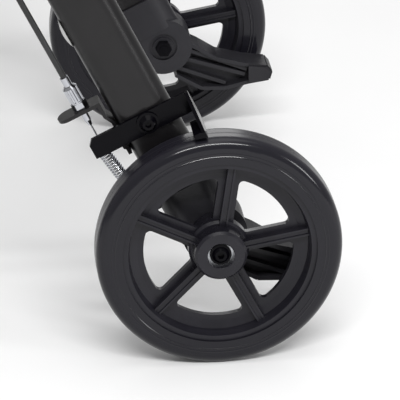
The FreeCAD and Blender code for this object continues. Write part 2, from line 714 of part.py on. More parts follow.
def make_brakes():
    plate = slab([("-arm_rear", "arm_bottom"), ("arm_front-3", "arm_bottom"), ("arm_front", "arm_bottom+4"),
                  ("arm_front", "arm_top-5"), ("arm_front-4", "arm_top"), ("-arm_rear", "arm_top")],
                 "xz", "arm_out-arm_sheet", "arm_out", LEG)
    tab_top = "arm_bottom+7"
    web = block(("arm_front-arm_sheet", "arm_front"), ("arm_tab", "arm_out"),
                ("arm_bottom+0.5", tab_top), LEG)
    tab = block(("cable_offset-6", "arm_front"), ("arm_tab", "arm_out"), (f"{tab_top}-3", tab_top), LEG)
    shoe_end = "rear_half_track+shoe_outer"
    shoe_low = "(wheel_radius-9)"
    rear = "-arm_rear-arm_sheet"
    flange = slab([("arm_out-arm_sheet", "arm_top"), ("arm_out+2", "arm_top"), (shoe_end, f"{shoe_low}+11"),
                   (shoe_end, shoe_low), ("arm_out+7", shoe_low), ("arm_out-arm_sheet", "arm_bottom")],
                  "yz", rear, "-arm_rear", LEG)
    shoe = block((rear, "-arm_rear+7"), ("arm_out+7", f"{shoe_end}+1.5"), (shoe_low, f"{shoe_low}+12"), LEG)
    shoe_back = rod("wheel_radius+shoe_gap+5", "arm_out-4", 60, "y", ("rear_x", "wheel_radius"))
    tread = rod("wheel_radius+shoe_gap", "arm_out-4", 60, "y", ("rear_x", "wheel_radius"))
    nipple = rod(3.6, f"{tab_top}-11", 8, "z", ("cable_offset", "leg_y"), LEG)
    pin_hole = rod("pivot_radius+running_gap", "arm_out-5", 8, "y", (0, "pivot_height"), LEG)
    wire_hole = rod("wire_radius+0.6", f"{tab_top}-12", 14, "z", ("cable_offset", "leg_y"), LEG)
    pieces = fuse(plate, web, tab, flange, overlap(shoe, shoe_back), nipple)
    arm = cut(pieces, tread, pin_hole, wire_hole)
    left_and_right("brake_arm", arm)

    pivot = (0, "pivot_height")
    bolt_end = "leg_in-8"
    bolt = button_screw("pivot_radius", 9.3, bolt_end, f"arm_out+0.3-({bolt_end})", "y", pivot, LEG)
    nut = cut(hexagon(7, "leg_in-7", 6.8, "y", pivot, LEG),
              rod("pivot_radius", "leg_in-9", 10, "y", pivot, LEG))

    low = "arm_bottom-13"
    bend = "ledge_height-18"
    out = "strap_x+strap_sheet"
    step = "strap_x+3.5"
    sides = ("leg_y-ledge_half_width", "leg_y+ledge_half_width")
    strap = slab([("strap_x", low), (out, low), (out, bend), (f"{step}+strap_sheet", f"{bend}+7"),
                  (f"{step}+strap_sheet", "ledge_height"), ("ledge_reach-ledge_half_width", "ledge_height"),
                  ("ledge_reach-ledge_half_width", "ledge_top"), (step, "ledge_top"),
                  (step, f"{bend}+7"), ("strap_x", bend)], "xz", *sides, LEG)
    tip = rod("ledge_half_width", "ledge_height", "strap_sheet", "z",
              ("ledge_reach-ledge_half_width", "leg_y"), LEG)
    stub_hole = rod("stub_radius", "ledge_height-1", 6, "z", ("cable_offset", "leg_y"), LEG)
    screw_hole = rod(2, "strap_x-1", 6, "x", ("leg_y", "arm_bottom-8"), LEG)
    part("adjuster_brackets", both_sides(cut(fuse(strap, tip), stub_hole, screw_hole)))
    screw = button_screw(2, 4.2, "strap_x-0.1", "strap_sheet+0.1", "x", ("leg_y", "arm_bottom-8"), LEG)
    part("brake_fasteners", both_sides(bolt, nut, screw))

    line = ("cable_offset", "leg_y")
    stub_end = "arm_top+5"
    stub = fuse(taper("stub_radius-1.2", "stub_radius", stub_end, 5, "z", line, LEG),
                rod("stub_radius", f"{stub_end}+5", f"ledge_top+7-({stub_end}+5)", "z", line, LEG))
    nut_start = "ledge_top+0.1"
    barrel_start = "ledge_top+6.4"
    barrel = fuse(rod("barrel_radius", barrel_start, 14, "z", line, LEG),
                  taper("barrel_radius", "barrel_radius-2", f"{barrel_start}+14", 2, "z", line, LEG))
    flutes = []
    for i in range(FLUTES):
        seat = LEG + " * " + placed("cable_offset", "leg_y", f"{barrel_start}+1", ("z", 360 * i / FLUTES))
        flutes.append(rod(1.3, 0, 13, "z", ("barrel_radius+0.6", 0), seat))
    bore = rod("wire_radius+0.5", "arm_top", 60, "z", line, LEG)
    body = cut(fuse(stub, barrel), bore, *flutes)
    lock = cut(hexagon(6.6, nut_start, 6, "z", line, LEG), rod("stub_radius", "ledge_top-1", 9,
            "z", line, LEG))
    ferrule = ring(3.6, "housing_radius", f"{barrel_start}+16.2", 8, "z", line, LEG)
    part("barrel_adjusters", both_sides(body, lock, ferrule))

    wire = rod("wire_radius", "arm_bottom-3", "ledge_height-(arm_bottom-3)", "z", line, LEG)
    part("brake_wires", both_sides(wire))

    run_x = "arm_front-5-spring_foot_offset"
    run_z = "arm_bottom-spring_foot_height"
    slope = f"atan2({run_x}; {run_z})"
    length = f"sqrt(({run_x})^2+({run_z})^2)"
    seat = LEG + " * " + placed("spring_foot_offset", "leg_y", "spring_foot_height", ("y", slope))
    coil = tube("spring_radius", 1.6, 6, f"{length}-11", "z", (0, 0), seat)
    part("return_springs", both_sides(coil))


# --- main beam, head tube, front axle -----------------------------------------------------------


def make_frame():
    head = rod("head_radius", "-head_bottom", "head_bottom+head_top", "z", (0, 0), STEER)
    head_bore = rod("bush_radius", "-head_bottom-1", "head_bottom+head_top+2", "z", (0, 0), STEER)
    part("head_tube", cut(head, head_bore))

    gap = "column_radius+running_gap"
    bushes = []
    for low, high, flange in (("-head_bottom", "-head_bottom+20", "-head_bottom-3.5"),
                              ("head_top-20", "head_top", "head_top")):
        sleeve = rod("bush_radius", low, f"({high})-({low})", "z", (0, 0), STEER)
        collar = rod("head_radius", flange, 3.5, "z", (0, 0), STEER)
        bushes.append(cut(fuse(sleeve, collar), rod(gap, f"({flange})-25", 70, "z", (0, 0), STEER)))
    part("steering_bearings", collected(bushes))

    half_height = "beam_height/2"
    half_width = "beam_width/2"
    front_slant = f"{half_height}*tan(beam_rise+steer_tilt*1deg)"
    beam = slab([(f"-{front_slant}", f"-{half_height}"), ("beam_length", f"-{half_height}"),
                 ("beam_length", half_height), (front_slant, half_height)],
                "xz", f"-{half_width}", half_width, BEAM)
    wall = "tube_wall"
    hollow = block(("-beam_height", "beam_length+1"), (f"-{half_width}+{wall}", f"{half_width}-{wall}"),
                   (f"-{half_height}+{wall}", f"{half_height}-{wall}"), BEAM)
    head_cut = rod("head_radius", 0, "head_top+60", "z", (0, 0), STEER)
    seat_cut = rod("seat_tube_radius", "seat_tube_bottom-20", 400, "z", ("seat_place", 0))
    cross_cut = rod("crossbar_radius", "-beam_width", "2*beam_width", "y", ("cross_x", "cross_z"))
    part("main_beam", cut(beam, hollow, head_cut, seat_cut, cross_cut))

    tube_length = "seat_tube_top-seat_tube_bottom"
    outer = rod("seat_tube_radius", "seat_tube_bottom", tube_length, "z", ("seat_place", 0))
    inner = rod("seat_post_radius+slide_gap", "seat_tube_bottom-1", f"{tube_length}+2", "z",
            ("seat_place", 0))
    slot = block(("seat_place+10", "seat_place+25"), (-1.5, 1.5), ("seat_tube_top-26", "seat_tube_top+1"))
    part("seat_tube", cut(outer, inner, slot))

    half_depth = "axle_beam_depth/2"
    reach = "kingpin_offset-kingpin_boss_radius+3"
    half = "axle_beam_height/2"
    bar = block((f"-{half_depth}", half_depth), (f"-({reach})", reach), (f"-{half}", half), STEER)
    bar_wall = "tube_wall+0.5"
    core = block((f"-{half_depth}+{bar_wall}", f"{half_depth}-({bar_wall})"),
                 (f"-({reach})+6", f"{reach}-6"), (f"-{half}+{bar_wall}", f"{half}-({bar_wall})"), STEER)
    bosses = []
    bores = []
    for sign in ("", "-"):
        at = (0, f"{sign}kingpin_offset")
        bosses.append(rod("kingpin_boss_radius", "-kingpin_boss_half", "2*kingpin_boss_half", "z",
                at, STEER))
        bores.append(rod("kingpin_radius+4", "-kingpin_boss_half-1", "2*kingpin_boss_half+2", "z",
                at, STEER))
    hole = rod("head_radius", "-head_bottom-1", "head_bottom+60", "z", (0, 0), STEER)
    part("front_axle_beam", cut(fuse(bar, *bosses), core, hole, *bores))
    kingpin_at = (0, "kingpin_offset")
    bore = "kingpin_radius+running_gap"
    liners = [ring("kingpin_radius+4", bore, start, 14, "z", kingpin_at, STEER)
              for start in ("-kingpin_boss_half", "kingpin_boss_half-14")]
    part("kingpin_bushes", both_sides(*liners))


def make_knuckles():
    at = (0, "kingpin_offset")
    sheet = "knuckle_sheet"
    ear_reach = "plate_y+knuckle_sheet"
    pieces = []
    for low in ("steer_level", "arm_level"):
        high = f"({low})+{sheet}"
        pieces.append(block((-14, 14), ("kingpin_offset", ear_reach), (low, high), STEER))
        pieces.append(rod(14, low, sheet, "z", at, STEER))
    pieces.append(block((-14, 14), ("plate_y", ear_reach), ("arm_level", f"steer_level+{sheet}"), STEER))
    arm_high = f"arm_level+{sheet}"
    pieces.append(block(("-steer_arm", 0), ("kingpin_offset-8", "kingpin_offset+8"), ("arm_level",
            arm_high), STEER))
    pieces.append(rod(8, "arm_level", sheet, "z", ("-steer_arm", "kingpin_offset"), STEER))
    hub_in = "front_half_track-hub_half_length"
    wheel_face = "front_half_track+hub_half_length-recess_depth"
    stub_at = ("front_x", "wheel_radius")
    pieces.append(rod(11, ear_reach, f"{hub_in}-0.5-({ear_reach})", "y", stub_at))
    pieces.append(rod("axle_radius", ear_reach, f"{wheel_face}+4.5-({ear_reach})", "y", stub_at))
    king_hole = rod("kingpin_radius", "arm_level-1", 90, "z", at, STEER)
    rod_hole = rod("rod_pin_radius+running_gap", "arm_level-1", f"{sheet}+2", "z",
                   ("-steer_arm", "kingpin_offset"), STEER)
    left_and_right("knuckle", cut(fuse(*pieces), king_hole, rod_hole))

    top = f"steer_level+{sheet}"
    pin = rod("kingpin_radius", "arm_level-8", f"{top}-(arm_level-8)", "z", at, STEER)
    head = taper(10, 6.5, top, 5, "z", at, STEER)
    king_nut = cut(hexagon(9.5, "arm_level-6.5", 6.4, "z", at, STEER),
                   rod("kingpin_radius", "arm_level-9", 12, "z", at, STEER))
    axle_nut = cut(fuse(hexagon(6.3, f"{wheel_face}+0.3", 3.6, "y", stub_at),
                        rod(8, f"{wheel_face}+0.3", 1, "y", stub_at)),
                   rod("axle_radius", wheel_face, 8, "y", stub_at))
    left_and_right("knuckle_hardware", collected([fuse(pin, head), king_nut, axle_nut]))

    bar_low = "rod_top-rod_thickness"
    span = block(("-steer_arm-8", "-steer_arm+8"), ("-kingpin_offset", "kingpin_offset"), (bar_low,
            "rod_top"), STEER)
    ends = [rod(8, bar_low, "rod_thickness", "z", ("-steer_arm", y), STEER) for y in PIN_PLACES]
    holes = [rod("rod_pin_radius", "rod_top-20", 30, "z", ("-steer_arm", y), STEER) for y in PIN_PLACES]
    part("track_rod", cut(fuse(span, *ends), *holes))
    pins = []
    for y in PIN_PLACES:
        place = ("-steer_arm", y)
        pin_top = f"arm_level+{sheet}+7"
        shank = rod("rod_pin_radius", bar_low, f"{pin_top}-({bar_low})", "z", place, STEER)
        bolt_head = taper(4.5, 6.5, f"{bar_low}-4", 4, "z", place, STEER)
        pin_nut = hexagon(6.8, f"arm_level+{sheet}+0.4", 5.5, "z", place, STEER)
        pins.append(fuse(shank, bolt_head, pin_nut))
    part("rod_pins", collected(pins))


PIN_PLACES = ("-kingpin_offset", "0", "kingpin_offset")


# --- steering column, fold hinge, stem, handlebar -------------------------------------------------


def cam_lever(frame, closed_turn):
    """Quick-release lever: two round cheeks with a handle.

    In its own frame the cam turns about Z at the origin, the skewer comes from -Y and the
    handle lies along +X, set out to +Y. Turning it over about Y points the handle the other way.
    """
    seat = frame + " * " + placed(0, 0, 0, ("y", closed_turn))
    half = "cam_height/2"
    hub = rod("cam_radius", f"-{half}", "cam_height", "z", (0, 0), seat)
    handle = slab([(2, 1), (10, 2), ("lever_length-4", 5), ("lever_length", 8), ("lever_length-2", 10),
                   (14, 8), (2, "cam_radius-0.5")], "xy", f"-{half}+1", f"{half}-1", seat)
    throat = block(("-cam_radius-1", 5), ("-cam_radius-1", "cam_radius+1"),
                   ("-skewer_radius-0.5", "skewer_radius+0.5"), seat)
    bore = rod("skewer_radius+running_gap", "-20", 40, "z", (0, 0), seat)
    return cut(fuse(hub, handle), throat, bore)


def clamp_collar(frame, radius, low, side):
    """Split collar with two ears, its skewer and the skewer's nut, as separate solids.

    side is "" for ears towards +X and "-" for ears towards -X. Returns the solids and the cam's frame.
    """
    outer = f"({radius}+clamp_wall)"
    ear_half = f"({radius}-7)"
    ear_ends = [f"{side}({radius}+1)", f"{side}({outer}+14)"]
    split_ends = [f"{side}5", f"{side}({outer}+15)"]
    if side:
        ear_ends.reverse()
        split_ends.reverse()
    high = f"({low})+clamp_height"
    band = rod(outer, low, "clamp_height", "z", (0, 0), frame)
    ears = block(ear_ends, (f"-{ear_half}", ear_half), (low, high), frame)
    bore = rod(radius, f"({low})-1", "clamp_height+2", "z", (0, 0), frame)
    split = block(split_ends, (-1.5, 1.5), (f"({low})-1", f"{high}+1"), frame)
    skewer_at = (f"{side}({outer}+7)", f"({low})+clamp_height/2")
    hole = rod("skewer_radius", f"-{ear_half}-1", f"2*{ear_half}+2", "y", skewer_at, frame)
    collar = cut(fuse(band, ears), bore, split, hole)
    cam_y = f"({ear_half}+0.5+cam_radius)"
    shaft = rod("skewer_radius", f"-{ear_half}-8", f"{ear_half}+8+{cam_y}", "y", skewer_at, frame)
    cross_pin = rod("skewer_radius", f"{skewer_at[1]}-cam_height/2-1", "cam_height+2", "z",
                    (skewer_at[0], cam_y), frame)
    nut = hexagon(6, f"-{ear_half}-6", 5.8, "y", skewer_at, frame)
    cam_frame = frame + " * " + placed(skewer_at[0], cam_y, skewer_at[1])
    return [collar, fuse(shaft, cross_pin, nut)], cam_frame


def make_column():
    low = "arm_level"
    top = "hinge_height-hinge_plate"
    pipe = rod("column_radius", low, f"{top}-({low})", "z", (0, 0), STEER)
    pipe_bore = rod("column_radius-column_wall", f"{low}+8", f"{top}-({low})-8", "z", (0, 0), STEER)
    stop = rod("head_radius-2", "head_top+4", 10, "z", (0, 0), STEER)
    arm_high = "arm_level+knuckle_sheet"
    pitman = block(("-steer_arm", 0), (-8, 8), (low, arm_high), STEER)
    pitman_end = rod(8, low, "knuckle_sheet", "z", ("-steer_arm", 0), STEER)
    pin_hole = rod("rod_pin_radius+running_gap", "arm_level-1", "knuckle_sheet+2", "z",
            ("-steer_arm", 0), STEER)
    front = "hinge_plate_front"
    side = "hinge_plate_half"
    rear = "-hinge_setback+hinge_radius+0.5"
    plate = slab([(rear, f"-{side}"), (f"{front}-8", f"-{side}"), (front, f"-{side}+8"),
                  (front, f"{side}-8"), (f"{front}-8", side), (rear, side)],
                 "xy", top, "hinge_height", STEER)
    ears = []
    pin_at = ("-hinge_setback", "hinge_height")
    for y in (12, -20):
        ears.append(rod("hinge_radius", y, 8, "y", pin_at, STEER))
        ears.append(block(("-hinge_setback", f"{rear}+6"), (y, y + 8),
                          ("hinge_height-hinge_radius", "hinge_height"), STEER))
    pin_bore = rod("fold_pin_radius", -30, 60, "y", pin_at, STEER)
    part("steering_column", cut(fuse(pipe, stop, pitman, pitman_end, plate, *ears), pipe_bore,
            pin_hole, pin_bore))

    cam_y = "(22+cam_radius)"
    pin = fuse(rod("fold_pin_radius", -24, 46, "y", pin_at, STEER),
               rod("skewer_radius", 22, "cam_radius", "y", pin_at, STEER),
               rod("skewer_radius", "hinge_height-cam_height/2-1", "cam_height+2", "z",
                   ("-hinge_setback", cam_y), STEER),
               taper(5, 7, -24, 3.5, "y", pin_at, STEER))
    part("fold_pin", pin)
    cam_frame = STEER + " * " + placed("-hinge_setback", cam_y, "hinge_height")
    part("fold_lever", cam_lever(cam_frame, 0))


def make_stem():
    low = "stem_low"
    plate_top = f"{low}+hinge_plate"
    front = "hinge_plate_front"
    side = "hinge_plate_half"
    rear = "-hinge_setback+hinge_radius+2"
    plate = slab([(rear, f"-{side}"), (f"{front}-8", f"-{side}"), (front, f"-{side}+8"),
                  (front, f"{side}-8"), (f"{front}-8", side), (rear, side)], "xy", low, plate_top, STEER)
    pin_at = ("-hinge_setback", "hinge_height")
    knuckle = rod("hinge_radius", -11.7, 23.4, "y", pin_at, STEER)
    bridge = block(("-hinge_setback", f"{rear}+4"), (-11.7, 11.7), (low, f"{low}+hinge_radius-1"), STEER)
    pipe = rod("stem_radius", low, f"stem_top-({low})", "z", (0, 0), STEER)
    pipe_bore = rod("post_radius+slide_gap", plate_top, f"stem_top-({plate_top})+1", "z", (0, 0), STEER)
    slot = block(("-stem_radius-1", -8), (-1.5, 1.5), ("stem_top-30", "stem_top+1"), STEER)
    pin_bore = rod("fold_pin_radius+running_gap", -30, 60, "y", pin_at, STEER)
    part("stem_tube", cut(fuse(plate, knuckle, bridge, pipe), pipe_bore, slot, pin_bore))
    pieces, cam_frame = clamp_collar(STEER, "stem_radius", "stem_top-clamp_height-2", "-")
    part("stem_clamp", collected(pieces))
    part("stem_clamp_lever", cam_lever(cam_frame, 0))


def route(points, bend):
    """A path of straight runs joined by arcs of the bend's radius, or less where it can't fit."""
    edges = []
    tightest = 1e6
    last = points[0]
    for before, corner, after in zip(points, points[1:], points[2:]):
        inward = (before - corner).normalize()
        onward = (after - corner).normalize()
        half_turn = (math.pi - inward.getAngle(onward)) / 2
        if half_turn < 0.002:
            continue
        room = 0.48 * min((before - corner).Length, (after - corner).Length)
        setback = min(bend * math.tan(half_turn), room)
        radius = setback / math.tan(half_turn)
        tightest = min(tightest, radius)
        start = corner + inward * setback
        end = corner + onward * setback
        toward = (inward + onward).normalize()
        middle = corner + toward * (radius / math.cos(half_turn) - radius)
        edges.append(Part.LineSegment(last, start).toShape())
        edges.append(Part.Arc(start, middle, end).toShape())
        last = end
    edges.append(Part.LineSegment(last, points[-1]).toShape())
    path = Part.Wire(edges)
    print(f"route of {path.Length:.0f} mm, tightest bend {tightest:.0f} mm")
    return path


def swept(points, radius, bend):
    """A round tube's solid along a route; its volume must match its section times its length."""
    path = route(points, bend)
    start = points[0]
    heading = (points[1] - points[0]).normalize()
    section = Part.Wire([Part.Circle(start, heading, radius).toShape()])
    shell = path.makePipeShell([section], True, False)
    if abs(shell.Volume / (math.pi * radius ** 2 * path.Length) - 1) > 0.01:
        raise RuntimeError("a swept tube's volume is wrong")
    return shell


def frame_point(frame, x, y, z):
    """Where a point of a local frame is in the part's own frame, with the present sizes."""
    tilts = {"leg": "leg_lean", "steer": "-steer_tilt"}
    angle = math.radians(number(tilts[frame]))
    origin = {"leg": number("rear_x"), "steer": number("front_x")}[frame]
    across = number(x) + {"leg": number("leg_offset"), "steer": 0}[frame]
    along = number(z)
    return V(origin + across * math.cos(angle) + along * math.sin(angle), number(y),
             number("wheel_radius") - across * math.sin(angle) + along * math.cos(angle))


def make_handlebar():
    post = tube("post_radius", "tube_wall", 520, "bar_height-520", "z", (0, 0), STEER)
    slope = f"(bar_end-bar_bend)*tan(bar_sweep)"
    route_points = [("0", "0"), ("0", "bar_bend"), (f"-({slope})", "bar_end")]
    points = [frame_point("steer", x, y, "bar_height") for x, y in route_points]
    half_bar = feature(swept(points, number("bar_radius"), 120))
    saddle = rod("post_radius", "bar_height-18", 18, "z", (0, 0), STEER)
    bar = fuse(half_bar, mirrored(half_bar), post, saddle, ball("bar_radius+2.5", 0, 0,
            "bar_height", STEER))
    part("handlebar", bar)

    grip_end = "(bar_end-bar_bend)/cos(bar_sweep)"
    start = f"{grip_end}-grip_length"
    sleeve = rod("grip_radius", start, "grip_length+4", "y", (0, 0), GRIP)
    mouth = rod("bar_radius", f"{start}-1", "grip_length+1", "y", (0, 0), GRIP)
    collar = rod("grip_radius+3", start, 4, "y", (0, 0), GRIP)
    part("handlebar_grips", both_sides(cut(fuse(sleeve, collar), mouth)))

    ring_low = f"{start}-20"
    ring_high = f"{start}-4"
    clamp = rod("bar_radius+5", ring_low, "16", "y", (0, 0), GRIP)
    nose = block(("bar_radius+1", 35), (ring_low, ring_high), (-8, 8), GRIP)
    exit_boss = taper(4, 5.5, f"{start}-32", 12.5, "y", (24, 0), GRIP)
    slot = block((19, 40), (f"{ring_low}-1", f"{ring_high}+1"), (-4.3, 4.3), GRIP)
    bar_hole = rod("bar_radius", f"{start}-40", 60, "y", (0, 0), GRIP)
    pivot_y = f"{start}-12"
    pivot_pin = rod(3, -9, 18, "z", (28, pivot_y), GRIP)
    perch = fuse(cut(fuse(clamp, nose, exit_boss), slot, bar_hole), pivot_pin)
    part("brake_perches", both_sides(perch))

    hub = rod(7, -4, 8, "z", (28, pivot_y), GRIP)
    pin_hole = rod("3+running_gap", -10, 20, "z", (28, pivot_y), GRIP)
    blade = slab([(26, f"{pivot_y}+4"), (32, f"{pivot_y}+2"), (47, f"{pivot_y}+20"), (50, f"{pivot_y}+40"),
                  (51, f"{start}+88"), (56, f"{start}+94"), (53, f"{start}+98"), (46, f"{start}+90"),
                  (45, f"{pivot_y}+42"), (41, f"{pivot_y}+24")], "xy", -4, 4, GRIP)
    left_and_right("brake_lever", cut(fuse(hub, blade), pin_hole))


# --- seat ---------------------------------------------------------------------------------------


def make_seat():
    at = ("seat_place", 0)
    part("seat_post", fuse(
        tube("seat_post_radius", "tube_wall", "seat_tube_bottom+15",
             "plate_underside-seat_tube_bottom-15", "z", at),
        seat_plate()))
    pad = block(("seat_place-pad_setback-pad_length/2", "seat_place-pad_setback+pad_length/2"),
                ("-pad_width/2", "pad_width/2"), ("pad_bottom", "pad_bottom+pad_thickness"))
    rounded = new("Part::Fillet")
    rounded.Base = pad
    DOC.recompute()
    vertical = [i for i, e in enumerate(pad.Shape.Edges, start=1) if e.BoundBox.ZLength > 1]
    upper = [i for i, e in enumerate(pad.Shape.Edges, start=1)
             if e.BoundBox.ZMin > number("pad_bottom+pad_thickness-1")]
    rounded.Edges = [(i, 35, 35) for i in vertical] + [(i, 14, 14) for i in upper]
    holes = [rod(3, "pad_bottom-1", 15, "z", place) for place in bolt_places()]
    part("knee_pad", cut(rounded, *holes))
    bolts = []
    for place in bolt_places():
        shank = rod(3, "plate_underside", "plate_sheet+13", "z", place)
        head = taper(4, 6, "plate_underside-3.4", 3.4, "z", place)
        bolts.append(fuse(shank, head))
    part("pad_bolts", collected(bolts))


def bolt_places():
    return [(f"seat_place-pad_setback{x}", y) for x in ("-80", "+80") for y in ("-40", "40")]


def seat_plate():
    """Pressed plate under the pad, with holes for its bolts."""
    xs = ("seat_place-pad_setback-110", "seat_place-pad_setback+110")
    top = block(xs, (-60, 60), ("plate_underside", "plate_underside+plate_sheet"))
    neck = taper("seat_post_radius", "seat_post_radius+10", "plate_underside-9", 9, "z", ("seat_place", 0))
    holes = [rod(3, "plate_underside-1", "plate_sheet+2", "z", place) for place in bolt_places()]
    return cut(fuse(top, neck), *holes)


def make_seat_clamp():
    frame = placed("seat_place")
    pieces, cam_frame = clamp_collar(frame, "seat_tube_radius", "seat_tube_top-clamp_height", "")
    part("seat_clamp", collected(pieces))
    part("seat_clamp_lever", cam_lever(cam_frame, 180))


# --- cables -------------------------------------------------------------------------------------

# The cables lie against the main beam's sides from this far behind the steering axis.
CABLE_START = 134
CABLE_SIDE = "beam_width/2+housing_radius+0.5"

# Front run of the left cable in the STEER frame, from its lever down to the beam's side.
FRONT_ROUTE = [(24.3, 104.8, 830), (30.1, 63.2, 830), (36, 32, 806), (36, 17, 764), (31, 14, 712),
               (27, 14, 660), (26, 14, 606), (31, 14, 552), (37, 14, 500), (38, 14, 446), (33, 14, 392),
               (26, 15, 342), (18, 18, 300), (9, 25, 260), (-11, 30, 217), (-42.6, 29, 192.3)]


def make_cables():
    radius = number("housing_radius")
    rise = math.radians(number("beam_rise"))
    join = V(number("join_x"), number(CABLE_SIDE), number("join_z"))
    back = V(-math.cos(rise), 0, math.sin(rise))
    start = join + back * CABLE_START
    leg_foot = frame_point("leg", "cable_offset", "leg_y", "0")
    leg_up = (frame_point("leg", "cable_offset", "leg_y", "1") - leg_foot).normalize()
    # seen from the side, the beam's line and the leg's line cross this far up the leg
    flat = join - leg_foot
    climb = (flat.z * back.x - flat.x * back.z) / (leg_up.z * back.x - leg_up.x * back.z)
    corner = leg_foot + leg_up * climb
    turn_in = V(corner.x, start.y, corner.z)
    entry = leg_foot + leg_up * number("ledge_top+23.1")
    rear = feature(swept([start, turn_in, corner, entry], radius, 42))
    part("rear_cables", both_sides(rear))

    points = [frame_point("steer", x, y, z) for x, y, z in FRONT_ROUTE]
    front = feature(swept([*points, start - back * 40, start], radius, 400))
    part("front_cables", both_sides(front))


def make_clips():
    clips = []
    bore = rod("housing_radius", 0, "beam_length", "x", (CABLE_SIDE, 0), BEAM_LEFT)
    for place in CLIP_PLACES:
        sides = ("beam_width/2", f"{CABLE_SIDE}+4")
        clips.append(cut(block((place, f"{place}+8"), sides, (-5.5, 5.5), BEAM_LEFT), bore))
    part("cable_clips", both_sides(*clips))


CLIP_PLACES = ("150", "235", "320")

# The beam's frame without the half turn about Z, so that +Y stays on the left.
BEAM_LEFT = placed("join_x", 0, "join_z", ("y", 180), ("y", "beam_rise"))


def write_parts():
    """Check every object, then write each sub-part's solids to its own file."""
    DOC.recompute()
    failed = [o.Label for o in DOC.Objects if {"Invalid", "Error"} & set(o.State)]
    if failed:
        raise RuntimeError(f"failed objects: {failed}")
    for piece in PARTS:
        shape = piece.Shape
        if shape.isNull() or not shape.isValid() or not shape.Solids:
            raise RuntimeError(f"{piece.Label} has no valid shape")
    os.makedirs("parts", exist_ok=True)
    for piece in PARTS:
        piece.Shape.exportStep(f"parts/{piece.Label}.step")
        print(f"{piece.Label}: {len(piece.Shape.Solids)} solids, {piece.Shape.Volume / 1000:.1f} cm3")


make_wheels()
make_legs()
make_feet()
make_brakes()
make_frame()
make_knuckles()
make_column()
make_stem()
make_handlebar()
make_seat()
make_seat_clamp()
make_cables()
make_clips()
write_parts()
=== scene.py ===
"""A four-wheeled knee scooter dressed for the studio: finishes, cushion, grips, springs and brake cables.

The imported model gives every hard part. This script gives each of them its finish, and makes the parts
that are soft, wound or flexible as surfaces worked out from formulas.
"""

import logging
import math
from dataclasses import dataclass, field
from enum import Enum
from typing import Sequence, Union

import bmesh
import bpy
import numpy as np
from mathutils import Matrix, Vector


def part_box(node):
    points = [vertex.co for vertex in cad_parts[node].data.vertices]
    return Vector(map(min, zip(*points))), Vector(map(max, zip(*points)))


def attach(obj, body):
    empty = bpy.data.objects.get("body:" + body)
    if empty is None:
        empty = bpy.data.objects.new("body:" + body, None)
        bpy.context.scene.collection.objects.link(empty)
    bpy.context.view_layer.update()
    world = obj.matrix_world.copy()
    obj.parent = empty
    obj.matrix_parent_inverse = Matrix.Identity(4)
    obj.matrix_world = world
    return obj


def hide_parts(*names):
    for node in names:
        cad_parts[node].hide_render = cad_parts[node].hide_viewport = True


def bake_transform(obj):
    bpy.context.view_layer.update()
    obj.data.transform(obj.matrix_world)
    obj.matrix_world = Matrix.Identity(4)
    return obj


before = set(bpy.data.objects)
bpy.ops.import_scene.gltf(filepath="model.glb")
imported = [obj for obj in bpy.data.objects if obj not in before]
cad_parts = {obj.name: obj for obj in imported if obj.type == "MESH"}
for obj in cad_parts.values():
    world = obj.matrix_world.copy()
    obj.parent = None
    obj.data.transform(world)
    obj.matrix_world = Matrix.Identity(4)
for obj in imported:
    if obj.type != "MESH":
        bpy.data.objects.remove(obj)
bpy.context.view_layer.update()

Colour = tuple[float, float, float]
Point = tuple[float, float, float]
Socket = bpy.types.NodeSocket
log = logging.getLogger("scooter")

STEERING_LEAN = math.radians(12)
STEERING_FOOT = (0.3, 0.0, 0.1015)
LEG_LEAN = math.radians(26.5)
LEG_FOOT = (-0.3, 0.0, 0.1015)
LEG_OFFSET = 0.003
SAME_POINT = 1e-6


class Side(Enum):
    """The rider's left or right, as the sign of y."""

    LEFT = 1
    RIGHT = -1

    @property
    def word(self) -> str:
        """The side's name in lower case."""
        return self.name.lower()


class Grain(Enum):
    """The kinds of fine surface relief that a moulded or coated part has."""

    ORANGE_PEEL = "orange peel"
    SPARK = "spark-eroded"
    BRUSHED = "brushed"


# ---------------------------------------------------------------- shader graphs


